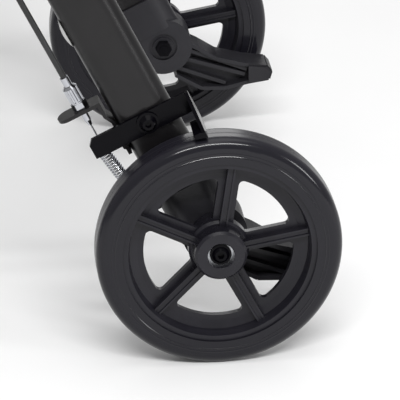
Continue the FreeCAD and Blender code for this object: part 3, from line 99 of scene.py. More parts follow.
class Graph:
    """A material's node tree, with one short method for each node that the finishes use."""

    def __init__(self, name: str) -> None:
        """Starts an empty material with a Principled shader.

        Args:
            name: the material's name.
        """
        self.material = bpy.data.materials.new(name)
        self.material.use_nodes = True
        self.tree = self.material.node_tree
        self.shader = self.tree.nodes["Principled BSDF"]

    def add(self, kind: str, **settings: object) -> bpy.types.Node:
        """Adds a node and sets its properties.

        Args:
            kind: the node's type, such as ShaderNodeTexNoise.
            settings: the properties to set on it.

        Returns:
            The node.
        """
        node = self.tree.nodes.new(kind)
        for key, value in settings.items():
            setattr(node, key, value)
        return node

    def feed(self, socket: Socket, value: Union[Socket, float, Sequence[float]]) -> None:
        """Links a socket to another, or sets its constant.

        Args:
            socket: the input.
            value: an output socket or a constant.
        """
        if isinstance(value, bpy.types.NodeSocket):
            self.tree.links.new(value, socket)
        else:
            socket.default_value = value

    def place(self, centre: Point = (0, 0, 0), stretch: Point = (1, 1, 1)) -> Socket:
        """Object coordinates measured from a centre, each axis multiplied by its stretch.

        Args:
            centre: the point that becomes zero, in metres.
            stretch: the factor along each axis.

        Returns:
            The vector socket.
        """
        coordinates = self.add("ShaderNodeTexCoord")
        mapping = self.add("ShaderNodeMapping")
        self.feed(mapping.inputs["Vector"], coordinates.outputs["Object"])
        mapping.inputs["Location"].default_value = [-c * s for c, s in zip(centre, stretch)]
        mapping.inputs["Scale"].default_value = stretch
        return mapping.outputs["Vector"]

    def noise(self, vector: Socket, scale: float, detail: float = 3.0, rough: float = 0.55) -> Socket:
        """Fractal noise, about 0 to 1 with its middle at 0.5.

        Args:
            vector: where it is read.
            scale: its number of features a metre.
            detail: its octaves.
            rough: the share of each finer octave.

        Returns:
            The value socket.
        """
        node = self.add("ShaderNodeTexNoise")
        self.feed(node.inputs["Vector"], vector)
        node.inputs["Scale"].default_value = scale
        node.inputs["Detail"].default_value = detail
        node.inputs["Roughness"].default_value = rough
        return node.outputs["Fac"]

    def cells(self, vector: Socket, scale: float, feature: str = "F1") -> Socket:
        """The distance to the nearest of scattered points, or to the border between two of them.

        Args:
            vector: where it is read.
            scale: its number of cells a metre.
            feature: F1 or DISTANCE_TO_EDGE.

        Returns:
            The distance socket.
        """
        node = self.add("ShaderNodeTexVoronoi", feature=feature)
        self.feed(node.inputs["Vector"], vector)
        node.inputs["Scale"].default_value = scale
        return node.outputs["Distance"]

    def sum(self, operation: str, first: Union[Socket, float], second: Union[Socket, float]) -> Socket:
        """Works out one operation on two numbers.

        Args:
            operation: the Math node's operation.
            first: the first number.
            second: the second number.

        Returns:
            The result socket.
        """
        node = self.add("ShaderNodeMath", operation=operation)
        self.feed(node.inputs[0], first)
        self.feed(node.inputs[1], second)
        return node.outputs[0]

    def spread(self, value: Socket, low: float, high: float, start: float = 0.0, end: float = 1.0) -> Socket:
        """Maps start..end onto low..high, and holds outside it.

        Args:
            value: the number to map.
            low: the result at start.
            high: the result at end.
            start: the lower input.
            end: the upper input.

        Returns:
            The mapped number.
        """
        node = self.add("ShaderNodeMapRange")
        self.feed(node.inputs["Value"], value)
        node.inputs["From Min"].default_value = start
        node.inputs["From Max"].default_value = end
        node.inputs["To Min"].default_value = low
        node.inputs["To Max"].default_value = high
        return node.outputs["Result"]

    def blend(self, factor: Socket, first: Colour, second: Colour) -> Socket:
        """Mixes two colours by a factor.

        Args:
            factor: 0 for the first, 1 for the second.
            first: the first colour.
            second: the second colour.

        Returns:
            The colour socket.
        """
        node = self.add("ShaderNodeMix", data_type="RGBA")
        self.feed(node.inputs[0], factor)
        node.inputs[6].default_value = (*first, 1)
        node.inputs[7].default_value = (*second, 1)
        return node.outputs[2]

    def part(self, vector: Socket, axis: str) -> Socket:
        """One axis of a vector.

        Args:
            vector: the vector.
            axis: X, Y or Z.

        Returns:
            The number socket.
        """
        node = self.add("ShaderNodeSeparateXYZ")
        self.feed(node.inputs[0], vector)
        return node.outputs[axis]

    def length(self, vector: Socket) -> Socket:
        """A vector's length."""
        node = self.add("ShaderNodeVectorMath", operation="LENGTH")
        self.feed(node.inputs[0], vector)
        return node.outputs["Value"]

    def relief(self, height: Socket, depth: float, strength: float = 1.0) -> None:
        """Adds relief on top of the relief that the shader already has.

        Args:
            height: 0 at the bottom and 1 at the top.
            depth: the height between them, in metres.
            strength: how much of it shows.
        """
        node = self.add("ShaderNodeBump")
        node.inputs["Strength"].default_value = strength
        node.inputs["Distance"].default_value = depth
        self.feed(node.inputs["Height"], height)
        normal = self.shader.inputs["Normal"]
        if normal.links:
            self.feed(node.inputs["Normal"], normal.links[0].from_socket)
        self.feed(normal, node.outputs["Normal"])

    def colour(self, value: Socket) -> None:
        """Feeds the base colour."""
        self.feed(self.shader.inputs["Base Color"], value)

    def roughness(self, value: Socket) -> None:
        """Feeds the roughness."""
        self.feed(self.shader.inputs["Roughness"], value)

    def set(self, **values: float) -> None:
        """Sets constants on the shader's own sockets; an underscore stands for a space.

        Args:
            values: each socket's name and number.
        """
        for key, value in values.items():
            self.shader.inputs[key.replace("_", " ")].default_value = value


# ---------------------------------------------------------------- finishes


@dataclass(frozen=True)
class Coating:
    """A sprayed, moulded or plated skin: two close colours in soft clouds, and a fine relief."""

    name: str
    dark: Colour
    light: Colour
    gloss: tuple[float, float]
    grain: Grain
    depth: float = 0.00002
    pitch: float = 900.0
    metal: float = 0.0
    specular: float = 0.5

    def material(self) -> bpy.types.Material:
        """Builds the material: clouds tint it, finer noise scuffs its roughness, and its grain is relief.

        Returns:
            The finished material.
        """
        graph = Graph(self.name)
        place = graph.place()
        cloud = graph.noise(place, 14, 4)
        graph.colour(graph.blend(graph.spread(cloud, 0, 1, 0.35, 0.65), self.dark, self.light))
        scuff = graph.noise(graph.place(stretch=(1, 1, 2.6)), 70, 6, 0.65)
        graph.roughness(graph.spread(scuff, self.gloss[0], self.gloss[1], 0.3, 0.7))
        if self.grain is Grain.ORANGE_PEEL:
            graph.relief(graph.noise(place, self.pitch, 2), self.depth)
        elif self.grain is Grain.SPARK:
            graph.relief(graph.cells(place, self.pitch), self.depth)
            graph.relief(graph.noise(place, self.pitch * 0.6, 3), self.depth)
        else:
            graph.relief(graph.noise(graph.place(stretch=(1, 9, 1)), self.pitch, 4), self.depth)
        graph.set(Metallic=self.metal, Specular_IOR_Level=self.specular)
        return graph.material


@dataclass(frozen=True)
class TyreRubber:
    """Smooth solid tyre rubber, with its mould's rings on the wall and its parting line on the crown.

    Each ring has its own radius and depth.
    """

    centre: Point
    rubber: Colour = (0.0078, 0.0074, 0.0108)
    bloom: Colour = (0.0138, 0.0131, 0.018)
    radius: float = 0.1015
    rings: tuple[tuple[float, float], ...] = ((0.0868, 0.0003), (0.0895, 0.0002))

    def material(self) -> bpy.types.Material:
        """Builds the rubber: the distance from the axle draws rings, and that from the mid-plane the line.

        Returns:
            The finished material.
        """
        graph = Graph("tyre_rubber")
        flat = graph.place(self.centre, (1, 0, 1))
        ring = graph.length(flat)
        across = graph.sum("ABSOLUTE", graph.part(graph.place(self.centre), "Y"), 0.0)
        cloud = graph.noise(graph.place(), 22, 5)
        worn = graph.spread(ring, 0, 0.8, self.radius - 0.004, self.radius)
        haze = graph.sum("ADD", graph.sum("MULTIPLY", cloud, 0.5), worn)
        graph.colour(graph.blend(graph.spread(haze, 0, 1, 0.1, 1.2), self.rubber, self.bloom))
        graph.roughness(graph.spread(haze, 0.13, 0.3, 0.15, 1.2))
        crest = graph.spread(across, 1, 0, 0.0002, 0.0007)
        graph.relief(crest, 0.0002)
        for radius, depth in self.rings:
            off = graph.sum("ABSOLUTE", graph.sum("SUBTRACT", ring, radius), 0.0)
            graph.relief(graph.spread(off, 1, 0, 0.0002, 0.0006), depth)
        graph.relief(graph.noise(graph.place(), 650, 3), 0.000007)
        graph.set(Specular_IOR_Level=0.3)
        return graph.material


@dataclass(frozen=True)
class RimPlastic:
    """Charcoal glass-filled nylon: flow clouds round the hub, a fine grain, and polish near the hub."""

    centre: Point
    dark: Colour = (0.0072, 0.0068, 0.0098)
    light: Colour = (0.0138, 0.0131, 0.018)
    hub: float = 0.03

    def material(self) -> bpy.types.Material:
        """Builds the plastic: the distance from the axle sets the polish, and noise the flow marks.

        Returns:
            The finished material.
        """
        graph = Graph("rim_nylon")
        ring = graph.length(graph.place(self.centre, (1, 0, 1)))
        place = graph.place()
        flow = graph.noise(place, 30, 5, 0.6)
        graph.colour(graph.blend(graph.spread(flow, 0, 1, 0.3, 0.7), self.dark, self.light))
        polish = graph.spread(ring, 0.0, 0.12, self.hub - 0.006, self.hub + 0.006)
        scuff = graph.spread(graph.noise(place, 120, 5, 0.65), 0.18, 0.3, 0.3, 0.7)
        graph.roughness(graph.sum("ADD", scuff, polish))
        graph.relief(graph.cells(place, 1500), 0.000008)
        graph.relief(graph.noise(place, 420, 3), 0.000014)
        graph.set(Specular_IOR_Level=0.3)
        return graph.material


@dataclass(frozen=True)
class VinylCover:
    """Soft upholstery vinyl: pebbled cells with painted shade darkening the creases between them, and broad
    handling wear.
    """

    name: str = "pad_vinyl"
    dark: Colour = (0.012, 0.012, 0.0125)
    light: Colour = (0.026, 0.026, 0.027)
    cells: float = 620.0

    def material(self) -> bpy.types.Material:
        """Builds the vinyl: borders between cells are creases, warped a little so that no two pebbles match.

        Returns:
            The finished material.
        """
        graph = Graph(self.name)
        place = graph.place()
        bend = graph.add("ShaderNodeTexNoise")
        graph.feed(bend.inputs["Vector"], place)
        bend.inputs["Scale"].default_value = 190
        warp = graph.add("ShaderNodeVectorMath", operation="MULTIPLY_ADD")
        graph.feed(warp.inputs[0], bend.outputs["Color"])
        warp.inputs[1].default_value = (0.0016, 0.0016, 0.0016)
        graph.feed(warp.inputs[2], place)
        crease_relief_and_shade = graph.spread(graph.cells(warp.outputs[0], self.cells, "DISTANCE_TO_EDGE"), 0, 1, 0.0, 0.22)
        wear = graph.noise(place, 9, 4)
        # Painted shade: the colour is darkest along the creases between the cells, on top of the broad random
        # wear.
        tone = graph.sum("MULTIPLY", crease_relief_and_shade, graph.spread(wear, 0.55, 1.0, 0.35, 0.65))
        graph.colour(graph.blend(tone, self.dark, self.light))
        graph.roughness(graph.spread(graph.noise(place, 45, 4), 0.36, 0.5, 0.3, 0.7))
        graph.relief(crease_relief_and_shade, 0.00016)
        graph.relief(graph.noise(place, 30, 3), 0.0007, 0.4)
        graph.set(Sheen_Weight=0.12, Sheen_Roughness=0.4, Specular_IOR_Level=0.45)
        return graph.material


@dataclass(frozen=True)
class Jacket:
    """Extruded cable jacket: a satin skin with faint draw lines along it, from the piece's own UV."""

    name: str = "cable_jacket"
    dark: Colour = (0.009, 0.009, 0.0095)
    light: Colour = (0.017, 0.017, 0.018)

    def material(self) -> bpy.types.Material:
        """Builds the jacket: noise read far longer along the cable than round it makes the draw lines.

        Returns:
            The finished material.
        """
        graph = Graph(self.name)
        coordinates = graph.add("ShaderNodeUVMap")
        mapping = graph.add("ShaderNodeMapping")
        graph.feed(mapping.inputs["Vector"], coordinates.outputs["UV"])
        mapping.inputs["Scale"].default_value = (6, 40, 1)
        lines = graph.noise(mapping.outputs["Vector"], 3, 4)
        cloud = graph.noise(graph.place(), 35, 4)
        graph.colour(graph.blend(graph.spread(cloud, 0, 1, 0.35, 0.65), self.dark, self.light))
        graph.roughness(graph.spread(graph.noise(graph.place(), 140, 4), 0.3, 0.44, 0.3, 0.7))
        graph.relief(lines, 0.00004)
        graph.set(Specular_IOR_Level=0.5)
        return graph.material


@dataclass(frozen=True)
class Finishes:
    """Every finish of the scooter, made once and shared by the parts that wear it."""

    frame_paint: bpy.types.Material
    foot_plastic: bpy.types.Material
    steel: bpy.types.Material
    chrome: bpy.types.Material
    ferrule: bpy.types.Material
    black_steel: bpy.types.Material
    rubber: bpy.types.Material
    pale_rubber: bpy.types.Material
    bushing: bpy.types.Material
    jacket: bpy.types.Material
    vinyl: bpy.types.Material
    piping: bpy.types.Material
    thread: bpy.types.Material
    grip: bpy.types.Material

    @classmethod
    def mixed(cls) -> "Finishes":
        """Mixes the whole set.

        Returns:
            The set of finishes.
        """
        peel, spark, brushed = Grain.ORANGE_PEEL, Grain.SPARK, Grain.BRUSHED
        return cls(
            frame_paint=Coating("satin_black_paint", (0.0045, 0.0041, 0.0046), (0.0085, 0.0078, 0.0086),
                                (0.29, 0.34), peel, 0.000003, 700, specular=0.34).material(),
            foot_plastic=Coating("grained_plastic", (0.0125, 0.012, 0.0145), (0.021, 0.0205, 0.0245),
                                 (0.36, 0.5), spark, 0.00004, 1300, specular=0.3).material(),
            steel=Coating("zinc_plate", (0.34, 0.35, 0.37), (0.47, 0.48, 0.5), (0.2, 0.36), brushed,
                          0.00001, 500, metal=1.0).material(),
            chrome=Coating("chrome_plate", (0.42, 0.43, 0.46), (0.56, 0.57, 0.6), (0.07, 0.16), peel,
                           0.000006, 420, metal=1.0).material(),
            ferrule=Coating("yellow_zinc_plate", (0.2, 0.145, 0.09), (0.29, 0.215, 0.14), (0.26, 0.4),
                            brushed, 0.00001, 500, metal=0.8).material(),
            black_steel=Coating("gloss_black_enamel", (0.001, 0.0009, 0.0016), (0.0021, 0.0019, 0.0031),
                                (0.14, 0.24), peel, 0.000007, 480, specular=0.09).material(),
            rubber=Coating("black_rubber", (0.01, 0.01, 0.0105), (0.019, 0.019, 0.0195), (0.5, 0.66),
                           spark, 0.00003, 1100).material(),
            pale_rubber=Coating("grey_rubber", (0.36, 0.36, 0.355), (0.46, 0.46, 0.455), (0.48, 0.62),
                                spark, 0.00003, 1100).material(),
            bushing=Coating("acetal", (0.045, 0.045, 0.046), (0.07, 0.07, 0.072), (0.3, 0.42), spark,
                            0.00001, 900).material(),
            jacket=Jacket().material(),
            vinyl=VinylCover().material(),
            piping=VinylCover("piping_vinyl", (0.01, 0.01, 0.0105), (0.02, 0.02, 0.021), 900).material(),
            thread=Coating("waxed_thread", (0.05, 0.05, 0.052), (0.085, 0.085, 0.088), (0.5, 0.65), brushed,
                           0.00004, 2200).material(),
            grip=Coating("grip_rubber", (0.011, 0.011, 0.0115), (0.021, 0.021, 0.022), (0.46, 0.62), spark,
                         0.00005, 900).material(),
        )


def dress(material: bpy.types.Material, *names: str) -> None:
    """Gives CAD nodes a finish, with nothing else about them changed.

    Args:
        material: the finish.
        names: the nodes.
    """
    for name in names:
        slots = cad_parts[name].data.materials
        slots.clear()
        slots.append(material)


# ---------------------------------------------------------------- surfaces


def unit(vectors: np.ndarray) -> np.ndarray:
    """Each vector divided by its own length.

    Args:
        vectors: the vectors, in the last axis.

    Returns:
        Vectors of length 1.
    """
    return vectors / np.linalg.norm(vectors, axis=-1, keepdims=True)


def smooth_step(share: np.ndarray) -> np.ndarray:
    """Three times the square less twice the cube, which starts and ends level."""
    return share * share * (3 - 2 * share)


def ring_angles(count: int) -> np.ndarray:
    """Even angles round a full turn, the last one step short of the first."""
    return np.linspace(0, 2 * math.pi, count, endpoint=False)


def vertex_places(mesh: bpy.types.Mesh) -> np.ndarray:
    """The places of a mesh's vertices, n by 3."""
    flat = np.empty(3 * len(mesh.vertices))
    mesh.vertices.foreach_get("co", flat)
    return flat.reshape(-1, 3)


def steering(points: np.ndarray) -> np.ndarray:
    """Steering-axis places turned into the row frame.

    A place is u ahead of the axis, y to the left and s along it. The axis leans back from its foot, so
    x = foot x + u cos - s sin and z = foot z + u sin + s cos.

    Args:
        points: places (u, y, s) in metres, in the last axis.

    Returns:
        The same places as (x, y, z).
    """
    u, y, s = np.moveaxis(np.asarray(points, float), -1, 0)
    x = STEERING_FOOT[0] + u * math.cos(STEERING_LEAN) - s * math.sin(STEERING_LEAN)
    z = STEERING_FOOT[2] + u * math.sin(STEERING_LEAN) + s * math.cos(STEERING_LEAN)
    return np.stack((x, y, z), -1)


def beside_leg(points: np.ndarray) -> np.ndarray:
    """Rear-leg places turned into the row frame.

    A place is X ahead of the leg's line, y to the left and t up along it. The line starts beside the axle
    and leans forward, so with A the place X plus the leg's offset, x = foot x + A cos + t sin and
    z = foot z - A sin + t cos.

    Args:
        points: places (X, y, t) in metres, in the last axis.

    Returns:
        The same places as (x, y, z).
    """
    across, y, up = np.moveaxis(np.asarray(points, float), -1, 0)
    x = LEG_FOOT[0] + (across + LEG_OFFSET) * math.cos(LEG_LEAN) + up * math.sin(LEG_LEAN)
    z = LEG_FOOT[2] - (across + LEG_OFFSET) * math.sin(LEG_LEAN) + up * math.cos(LEG_LEAN)
    return np.stack((x, y, z), -1)


def sheet_object(name: str, grid: np.ndarray, material: bpy.types.Material, around: bool = True,
                 along: bool = False) -> bpy.types.Object:
    """Makes an object from a grid of points, rows along it and columns round it.

    Corner k of the face at row i and column j is the grid point one step on in that direction, and a wrapped
    direction steps from its last line to its first. Where the rows don't wrap, each end row that isn't
    already one point is closed with a fan to its mean point. UV is the length along, and the share round.

    Args:
        name: the object's name.
        grid: the points, rows by columns by 3, in the row frame.
        material: the finish.
        around: whether the columns wrap.
        along: whether the rows wrap.

    Returns:
        The object, at the origin.
    """
    rows, columns = grid.shape[:2]
    row = np.arange(rows if along else rows - 1)
    column = np.arange(columns if around else columns - 1)
    i, j = np.meshgrid(row, column, indexing="ij")
    after_i, after_j = (i + 1) % rows, (j + 1) % columns
    quads = np.stack((i * columns + j, after_i * columns + j,
                      after_i * columns + after_j, i * columns + after_j), -1)
    steps = np.linalg.norm(np.roll(grid[:, 0], -1, 0) - grid[:, 0], axis=-1)
    reach = np.concatenate(([0.0], np.cumsum(steps)))
    corner_u = np.stack((reach[i], reach[i + 1], reach[i + 1], reach[i]), -1)
    corner_v = np.stack((j, j, j + 1, j + 1), -1) / columns
    points = grid.reshape(-1, 3)
    faces = quads.reshape(-1, 4).tolist()
    chart = np.stack((corner_u, corner_v), -1).reshape(-1, 2)
    if around and not along:
        ring = np.arange(columns)
        turn = (ring + 1) % columns
        middle = np.stack((grid[0].mean(0), grid[-1].mean(0)))
        first, last = len(points), len(points) + 1
        points = np.concatenate((points, middle))
        base = (rows - 1) * columns
        start_fan = np.stack((ring, turn, np.full(columns, first)), -1)
        end_fan = np.stack((base + turn, base + ring, np.full(columns, last)), -1)
        faces += start_fan.tolist() + end_fan.tolist()
        chart = np.concatenate((chart, np.zeros((6 * columns, 2))))
    mesh = bpy.data.meshes.new(name)
    mesh.from_pydata(points.tolist(), [], faces)
    layer = mesh.uv_layers.new(name="run")
    layer.data.foreach_set("uv", chart.astype(np.float32).ravel())
    return placed(mesh, name, material)


def placed(mesh: bpy.types.Mesh, name: str, material: bpy.types.Material) -> bpy.types.Object:
    """Smooths and dresses a mesh, turns its faces outwards, and links it as an object at the origin.

    Args:
        mesh: the mesh, its place already in it.
        name: the object's name.
        material: the finish.

    Returns:
        The object.
    """
    work = bmesh.new()
    work.from_mesh(mesh)
    bmesh.ops.remove_doubles(work, verts=work.verts, dist=SAME_POINT)
    bmesh.ops.recalc_face_normals(work, faces=work.faces)
    work.to_mesh(mesh)
    work.free()
    mesh.polygons.foreach_set("use_smooth", np.ones(len(mesh.polygons), bool))
    mesh.materials.clear()
    mesh.materials.append(material)
    piece = bpy.data.objects.new(name, mesh)
    bpy.context.scene.collection.objects.link(piece)
    return piece


def tube(path: np.ndarray, radius: Union[float, np.ndarray], reference: np.ndarray, columns: int,
         closed: bool = False) -> np.ndarray:
    """A round profile carried along a path.

    At each path point the tangent is the difference of its neighbours. The reference direction less its
    share along the tangent is the first side, and their cross product the second. The ring is the point plus
    radius times (cos of the angle times the first side plus sin times the second).

    Args:
        path: the path's points, n by 3.
        radius: one radius, or one for each point.
        reference: a direction that the path never follows, 3 or n by 3.
        columns: the points round a ring.
        closed: whether the path joins its own start.

    Returns:
        The grid of points, n by columns by 3.
    """
    if closed:
        tangent = unit(np.roll(path, -1, 0) - np.roll(path, 1, 0))
    else:
        tangent = unit(np.gradient(path, axis=0))
    reference = np.broadcast_to(reference, path.shape)
    first = unit(reference - (reference * tangent).sum(-1, keepdims=True) * tangent)
    second = np.cross(tangent, first)
    angle = ring_angles(columns)
    size = np.broadcast_to(radius, len(path))[:, None, None]
    ring = np.cos(angle)[None, :, None] * first[:, None] + np.sin(angle)[None, :, None] * second[:, None]
    return path[:, None] + size * ring


def smooth_run(points: Sequence[Point], steps: int = 12) -> np.ndarray:
    """The places along a smooth spline of order 3 that starts at the first point and ends at the last.

    Args:
        points: the spline's control points, in the row frame.
        steps: the places for each control point.

    Returns:
        The places, n by 3.
    """
    curve = bpy.data.curves.new("run", "CURVE")
    curve.dimensions = "3D"
    spline = curve.splines.new("NURBS")
    spline.points.add(len(points) - 1)
    weights = np.ones((len(points), 1))
    spline.points.foreach_set("co", np.concatenate((np.asarray(points, float), weights), 1).ravel())
    spline.order_u = 3
    spline.use_endpoint_u = True
    spline.resolution_u = steps
    holder = bpy.data.objects.new("run", curve)
    mesh = bpy.data.meshes.new_from_object(holder)
    places = vertex_places(mesh)
    bpy.data.meshes.remove(mesh)
    bpy.data.objects.remove(holder)
    bpy.data.curves.remove(curve)
    return places


# ---------------------------------------------------------------- studio


@dataclass
class Studio:
    """The floor, the light and the camera."""

    azimuth: float = 173.4
    height: float = 25.0
    distance: float = 2.9
    focus: Point = (-0.3, 0.254, 0.1015)
    scale: float = 1226.0
    offset: tuple[float, float] = (-20.4, 53.3)
    sensor: float = 36.0
    view_width: float = 400.0
    sky: float = 0.42
    floor_colour: Colour = (0.86, 0.86, 0.86)
    floor_half: float = 7.0
    lamps: tuple[tuple[str, Point, Point, float, tuple[float, float]], ...] = (
        ("overhead", (-0.4, 0.2, 2.6), (-0.2, 0, 0.1), 18, (2.2, 1.6)),
        ("strip", (-0.3, 1.9, 2.1), (-0.3, 0.2, 0.1), 50, (1.9, 0.14)),
        ("window", (-2.3, 1.5, 0.9), (-0.25, 0.15, 0.2), 14, (0.25, 0.9)),
        ("rear", (-0.3, -2.6, 1.4), (0, 0, 0.4), 16, (1.6, 1.0)))

    def floor(self) -> None:
        """Lays the floor: a square grid at height 0, its paper finish slightly mottled."""
        graph = Graph("floor_paper")
        place = graph.place()
        tone = graph.spread(graph.noise(place, 3, 3), 0, 1, 0.3, 0.7)
        graph.colour(graph.blend(tone, self.floor_colour, tuple(c + 0.02 for c in self.floor_colour)))
        graph.roughness(graph.spread(graph.noise(place, 60, 3), 0.72, 0.82, 0.3, 0.7))
        graph.relief(graph.noise(place, 700, 2), 0.00002)
        line = np.linspace(-self.floor_half, self.floor_half, 29)
        x, y = np.meshgrid(line, line, indexing="ij")
        grid = np.stack((x, y, np.zeros_like(x)), -1)
        floor = sheet_object("floor", grid, graph.material, around=False)

    def light(self) -> None:
        """Hangs the lights: a panel overhead, a strip, a window and a rear panel, in an even white surround.

        Each lamp has its name, its place, what it points at, its power in watts and its two sides.
        """
        world = bpy.data.worlds.new("surround")
        bpy.context.scene.world = world
        world.use_nodes = True
        sky = world.node_tree.nodes["Background"]
        sky.inputs["Color"].default_value = (1, 1, 1, 1)
        sky.inputs["Strength"].default_value = self.sky
        bpy.context.scene.view_settings.view_transform = "Standard"
        for name, place, target, power, size in self.lamps:
            lamp = bpy.data.lights.new(name, "AREA")
            lamp.energy = power
            lamp.shape = "RECTANGLE"
            lamp.size, lamp.size_y = size
            holder = bpy.data.objects.new(name, lamp)
            bpy.context.scene.collection.objects.link(holder)
            holder.location = place
            aim = Vector(target) - Vector(place)
            holder.rotation_euler = aim.to_track_quat("-Z", "Y").to_euler()

    def camera(self) -> None:
        """Stands the camera so that the near wheel's hub falls at its place in the view.

        The view direction comes from the azimuth and the height. The lens gives the scale at the hub's
        distance, and the camera slides sideways and up by the hub's offset from the middle of the view.
        """
        turn, rise = math.radians(self.azimuth), math.radians(self.height)
        back = Vector((math.sin(turn) * math.cos(rise), -math.cos(turn) * math.cos(rise), math.sin(rise)))
        right = Vector((math.cos(turn), math.sin(turn), 0))
        up = back.cross(right)
        data = bpy.data.cameras.new("camera")
        data.sensor_width = self.sensor
        data.lens = self.scale * self.distance * self.sensor / self.view_width
        holder = bpy.data.objects.new("camera", data)
        bpy.context.scene.collection.objects.link(holder)
        aim = Vector(self.focus) + right * (self.offset[0] / self.scale) + up * (self.offset[1] / self.scale)
        matrix = Matrix((right, up, back)).transposed().to_4x4()
        matrix.translation = aim + back * self.distance
        holder.matrix_world = matrix
        bpy.context.scene.camera = holder

    def build(self) -> None:
        """Sets up the whole studio."""
        self.camera()
        self.light()
        self.floor()
        log.info("studio: floor, lights and camera")


# ---------------------------------------------------------------- sub-assemblies


@dataclass
class Wheel:
    """One wheel: its solid tyre, its moulded rim and its pair of bearings."""

    end: str
    side: Side

    @property
    def stem(self) -> str:
        """The start of the wheel's node names."""
        return f"{self.end}_{self.side.word}"

    def centre(self) -> Point:
        """The middle of the tyre's box.

        Returns:
            The wheel's centre in the row frame.
        """
        low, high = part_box(f"{self.stem}_tyre")
        return tuple((a + b) / 2 for a, b in zip(low, high))

    def build(self, finishes: Finishes) -> None:
        """Dresses the wheel, with rings and polish measured from its own axle.

        Args:
            finishes: the shared finishes.
        """
        middle = self.centre()
        dress(TyreRubber(middle).material(), f"{self.stem}_tyre")
        dress(RimPlastic(middle).material(), f"{self.stem}_rim")
        dress(finishes.steel, f"{self.stem}_bearings")
        log.info("%s wheel: tyre, rim and bearings", self.stem)


@dataclass
class Chassis:
    """The painted frame, its plastic sockets and feet, and its fasteners."""

    painted: tuple[str, ...] = (
        "main_beam", "head_tube", "seat_tube", "rear_crossbar", "left_leg", "right_leg", "front_axle_beam",
        "adjuster_brackets", "steering_column", "stem_tube", "handlebar", "seat_post")
    moulded: tuple[str, ...] = (
        "leg_sockets", "left_leg_foot", "right_leg_foot", "cable_clips", "brake_perches")
    plated: tuple[str, ...] = (
        "fold_pin", "pad_bolts", "rod_pins", "left_knuckle_hardware", "right_knuckle_hardware")
    enamelled: tuple[str, ...] = (
        "brake_fasteners", "rear_axle_bolts", "left_brake_arm", "right_brake_arm", "left_knuckle",
        "right_knuckle", "track_rod", "fold_lever", "seat_clamp", "seat_clamp_lever", "stem_clamp",
        "stem_clamp_lever", "left_brake_lever", "right_brake_lever")
    bushed: tuple[str, ...] = ("kingpin_bushes", "steering_bearings")

    def build(self, finishes: Finishes) -> None:
        """Dresses every hard part of the frame, the steering and the controls.

        Args:
            finishes: the shared finishes.
        """
        dress(finishes.frame_paint, *self.painted)
        dress(finishes.foot_plastic, *self.moulded)
        dress(finishes.steel, *self.plated)
        dress(finishes.black_steel, *self.enamelled)
        dress(finishes.bushing, *self.bushed)
        dress(finishes.rubber, "crossbar_caps")
        dress(finishes.pale_rubber, "leg_bumpers")
        dress(finishes.chrome, "barrel_adjusters")
        log.info("chassis: %d painted, %d enamelled and %d plated parts", len(self.painted),
                 len(self.enamelled), len(self.plated))


@dataclass
class ReturnSpring:
    """A close-wound extension spring of round wire, hooked to the bracket screw and to the brake arm."""

    side: Side
    lower: Point = (0.037, 0.202, 0.042)
    upper: Point = (0.046, 0.202, 0.109)
    coil: float = 0.0043
    wire: float = 0.00085
    turns: int = 27
    hook: float = 0.006
    hook_offset: float = 0.0004
    eye_radius: float = 0.0036
    steps: int = 22
    ends: tuple[np.ndarray, np.ndarray] = field(init=False)

    def __post_init__(self) -> None:
        """Puts the two hook points on the spring's own side."""
        points = beside_leg(np.array((self.lower, self.upper)))
        points[:, 1] *= self.side.value
        self.ends = (points[0], points[1])

    def path(self) -> tuple[np.ndarray, np.ndarray]:
        """The wire's centre line, and the direction from the spring's axis to it.

        The share f runs 0 to 1 along the spring. The distance from the axis is the coil's radius times the
        smooth step of how far f is from either end, so the wire comes in to the axis at both hooks. The angle
        is the turns times f, and the height runs evenly between the two ends.

        Returns:
            The centre line's points and the outward directions, each n by 3.
        """
        low, high = self.ends
        axis = unit(high - low)
        side = unit(np.cross(axis, (0.0, 1.0, 0.0)))
        other = np.cross(axis, side)
        length = np.linalg.norm(high - low)
        share = np.linspace(0, 1, self.turns * self.steps)
        near = np.clip(np.minimum(share, 1 - share) * length / self.hook, 0, 1)
        swell = smooth_step(near)
        angle = 2 * math.pi * self.turns * share
        out = np.cos(angle)[:, None] * side + np.sin(angle)[:, None] * other
        centre = low + share[:, None] * (high - low) + (self.hook_offset + self.coil * swell)[:, None] * out
        return centre, out

    def eye(self, at: np.ndarray, name: str, finishes: Finishes) -> bpy.types.Object:
        """The hook's eye: a closed ring of the same wire round the pin, in the plane across y.

        Args:
            at: the pin's point.
            name: the piece's name.
            finishes: the shared finishes.

        Returns:
            The eye.
        """
        angle = ring_angles(36)
        zero = np.zeros_like(angle)
        path = at + self.eye_radius * np.stack((np.cos(angle), zero, np.sin(angle)), -1)
        grid = tube(path, self.wire, np.array((0.0, 1.0, 0.0)), 10, closed=True)
        return sheet_object(name, grid, finishes.chrome, along=True)

    def build(self, finishes: Finishes) -> None:
        """Winds the spring between the frame and the brake arm, and its two eyes.

        Args:
            finishes: the shared finishes.
        """
        path, out = self.path()
        spring = sheet_object(f"{self.side.word}_return_spring", tube(path, self.wire, out, 8),
                              finishes.chrome)
        arm = f"{self.side.word}_brake_arm"
        lower = self.eye(self.ends[0], f"{self.side.word}_spring_eye_lower", finishes)
        upper = self.eye(self.ends[1], f"{self.side.word}_spring_eye_upper", finishes)
        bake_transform(spring)
        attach(lower, "frame")
        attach(upper, arm)
        for piece in (spring, lower, upper):
            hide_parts("return_springs")
        log.info("%s return spring: %d turns", self.side.word, self.turns)


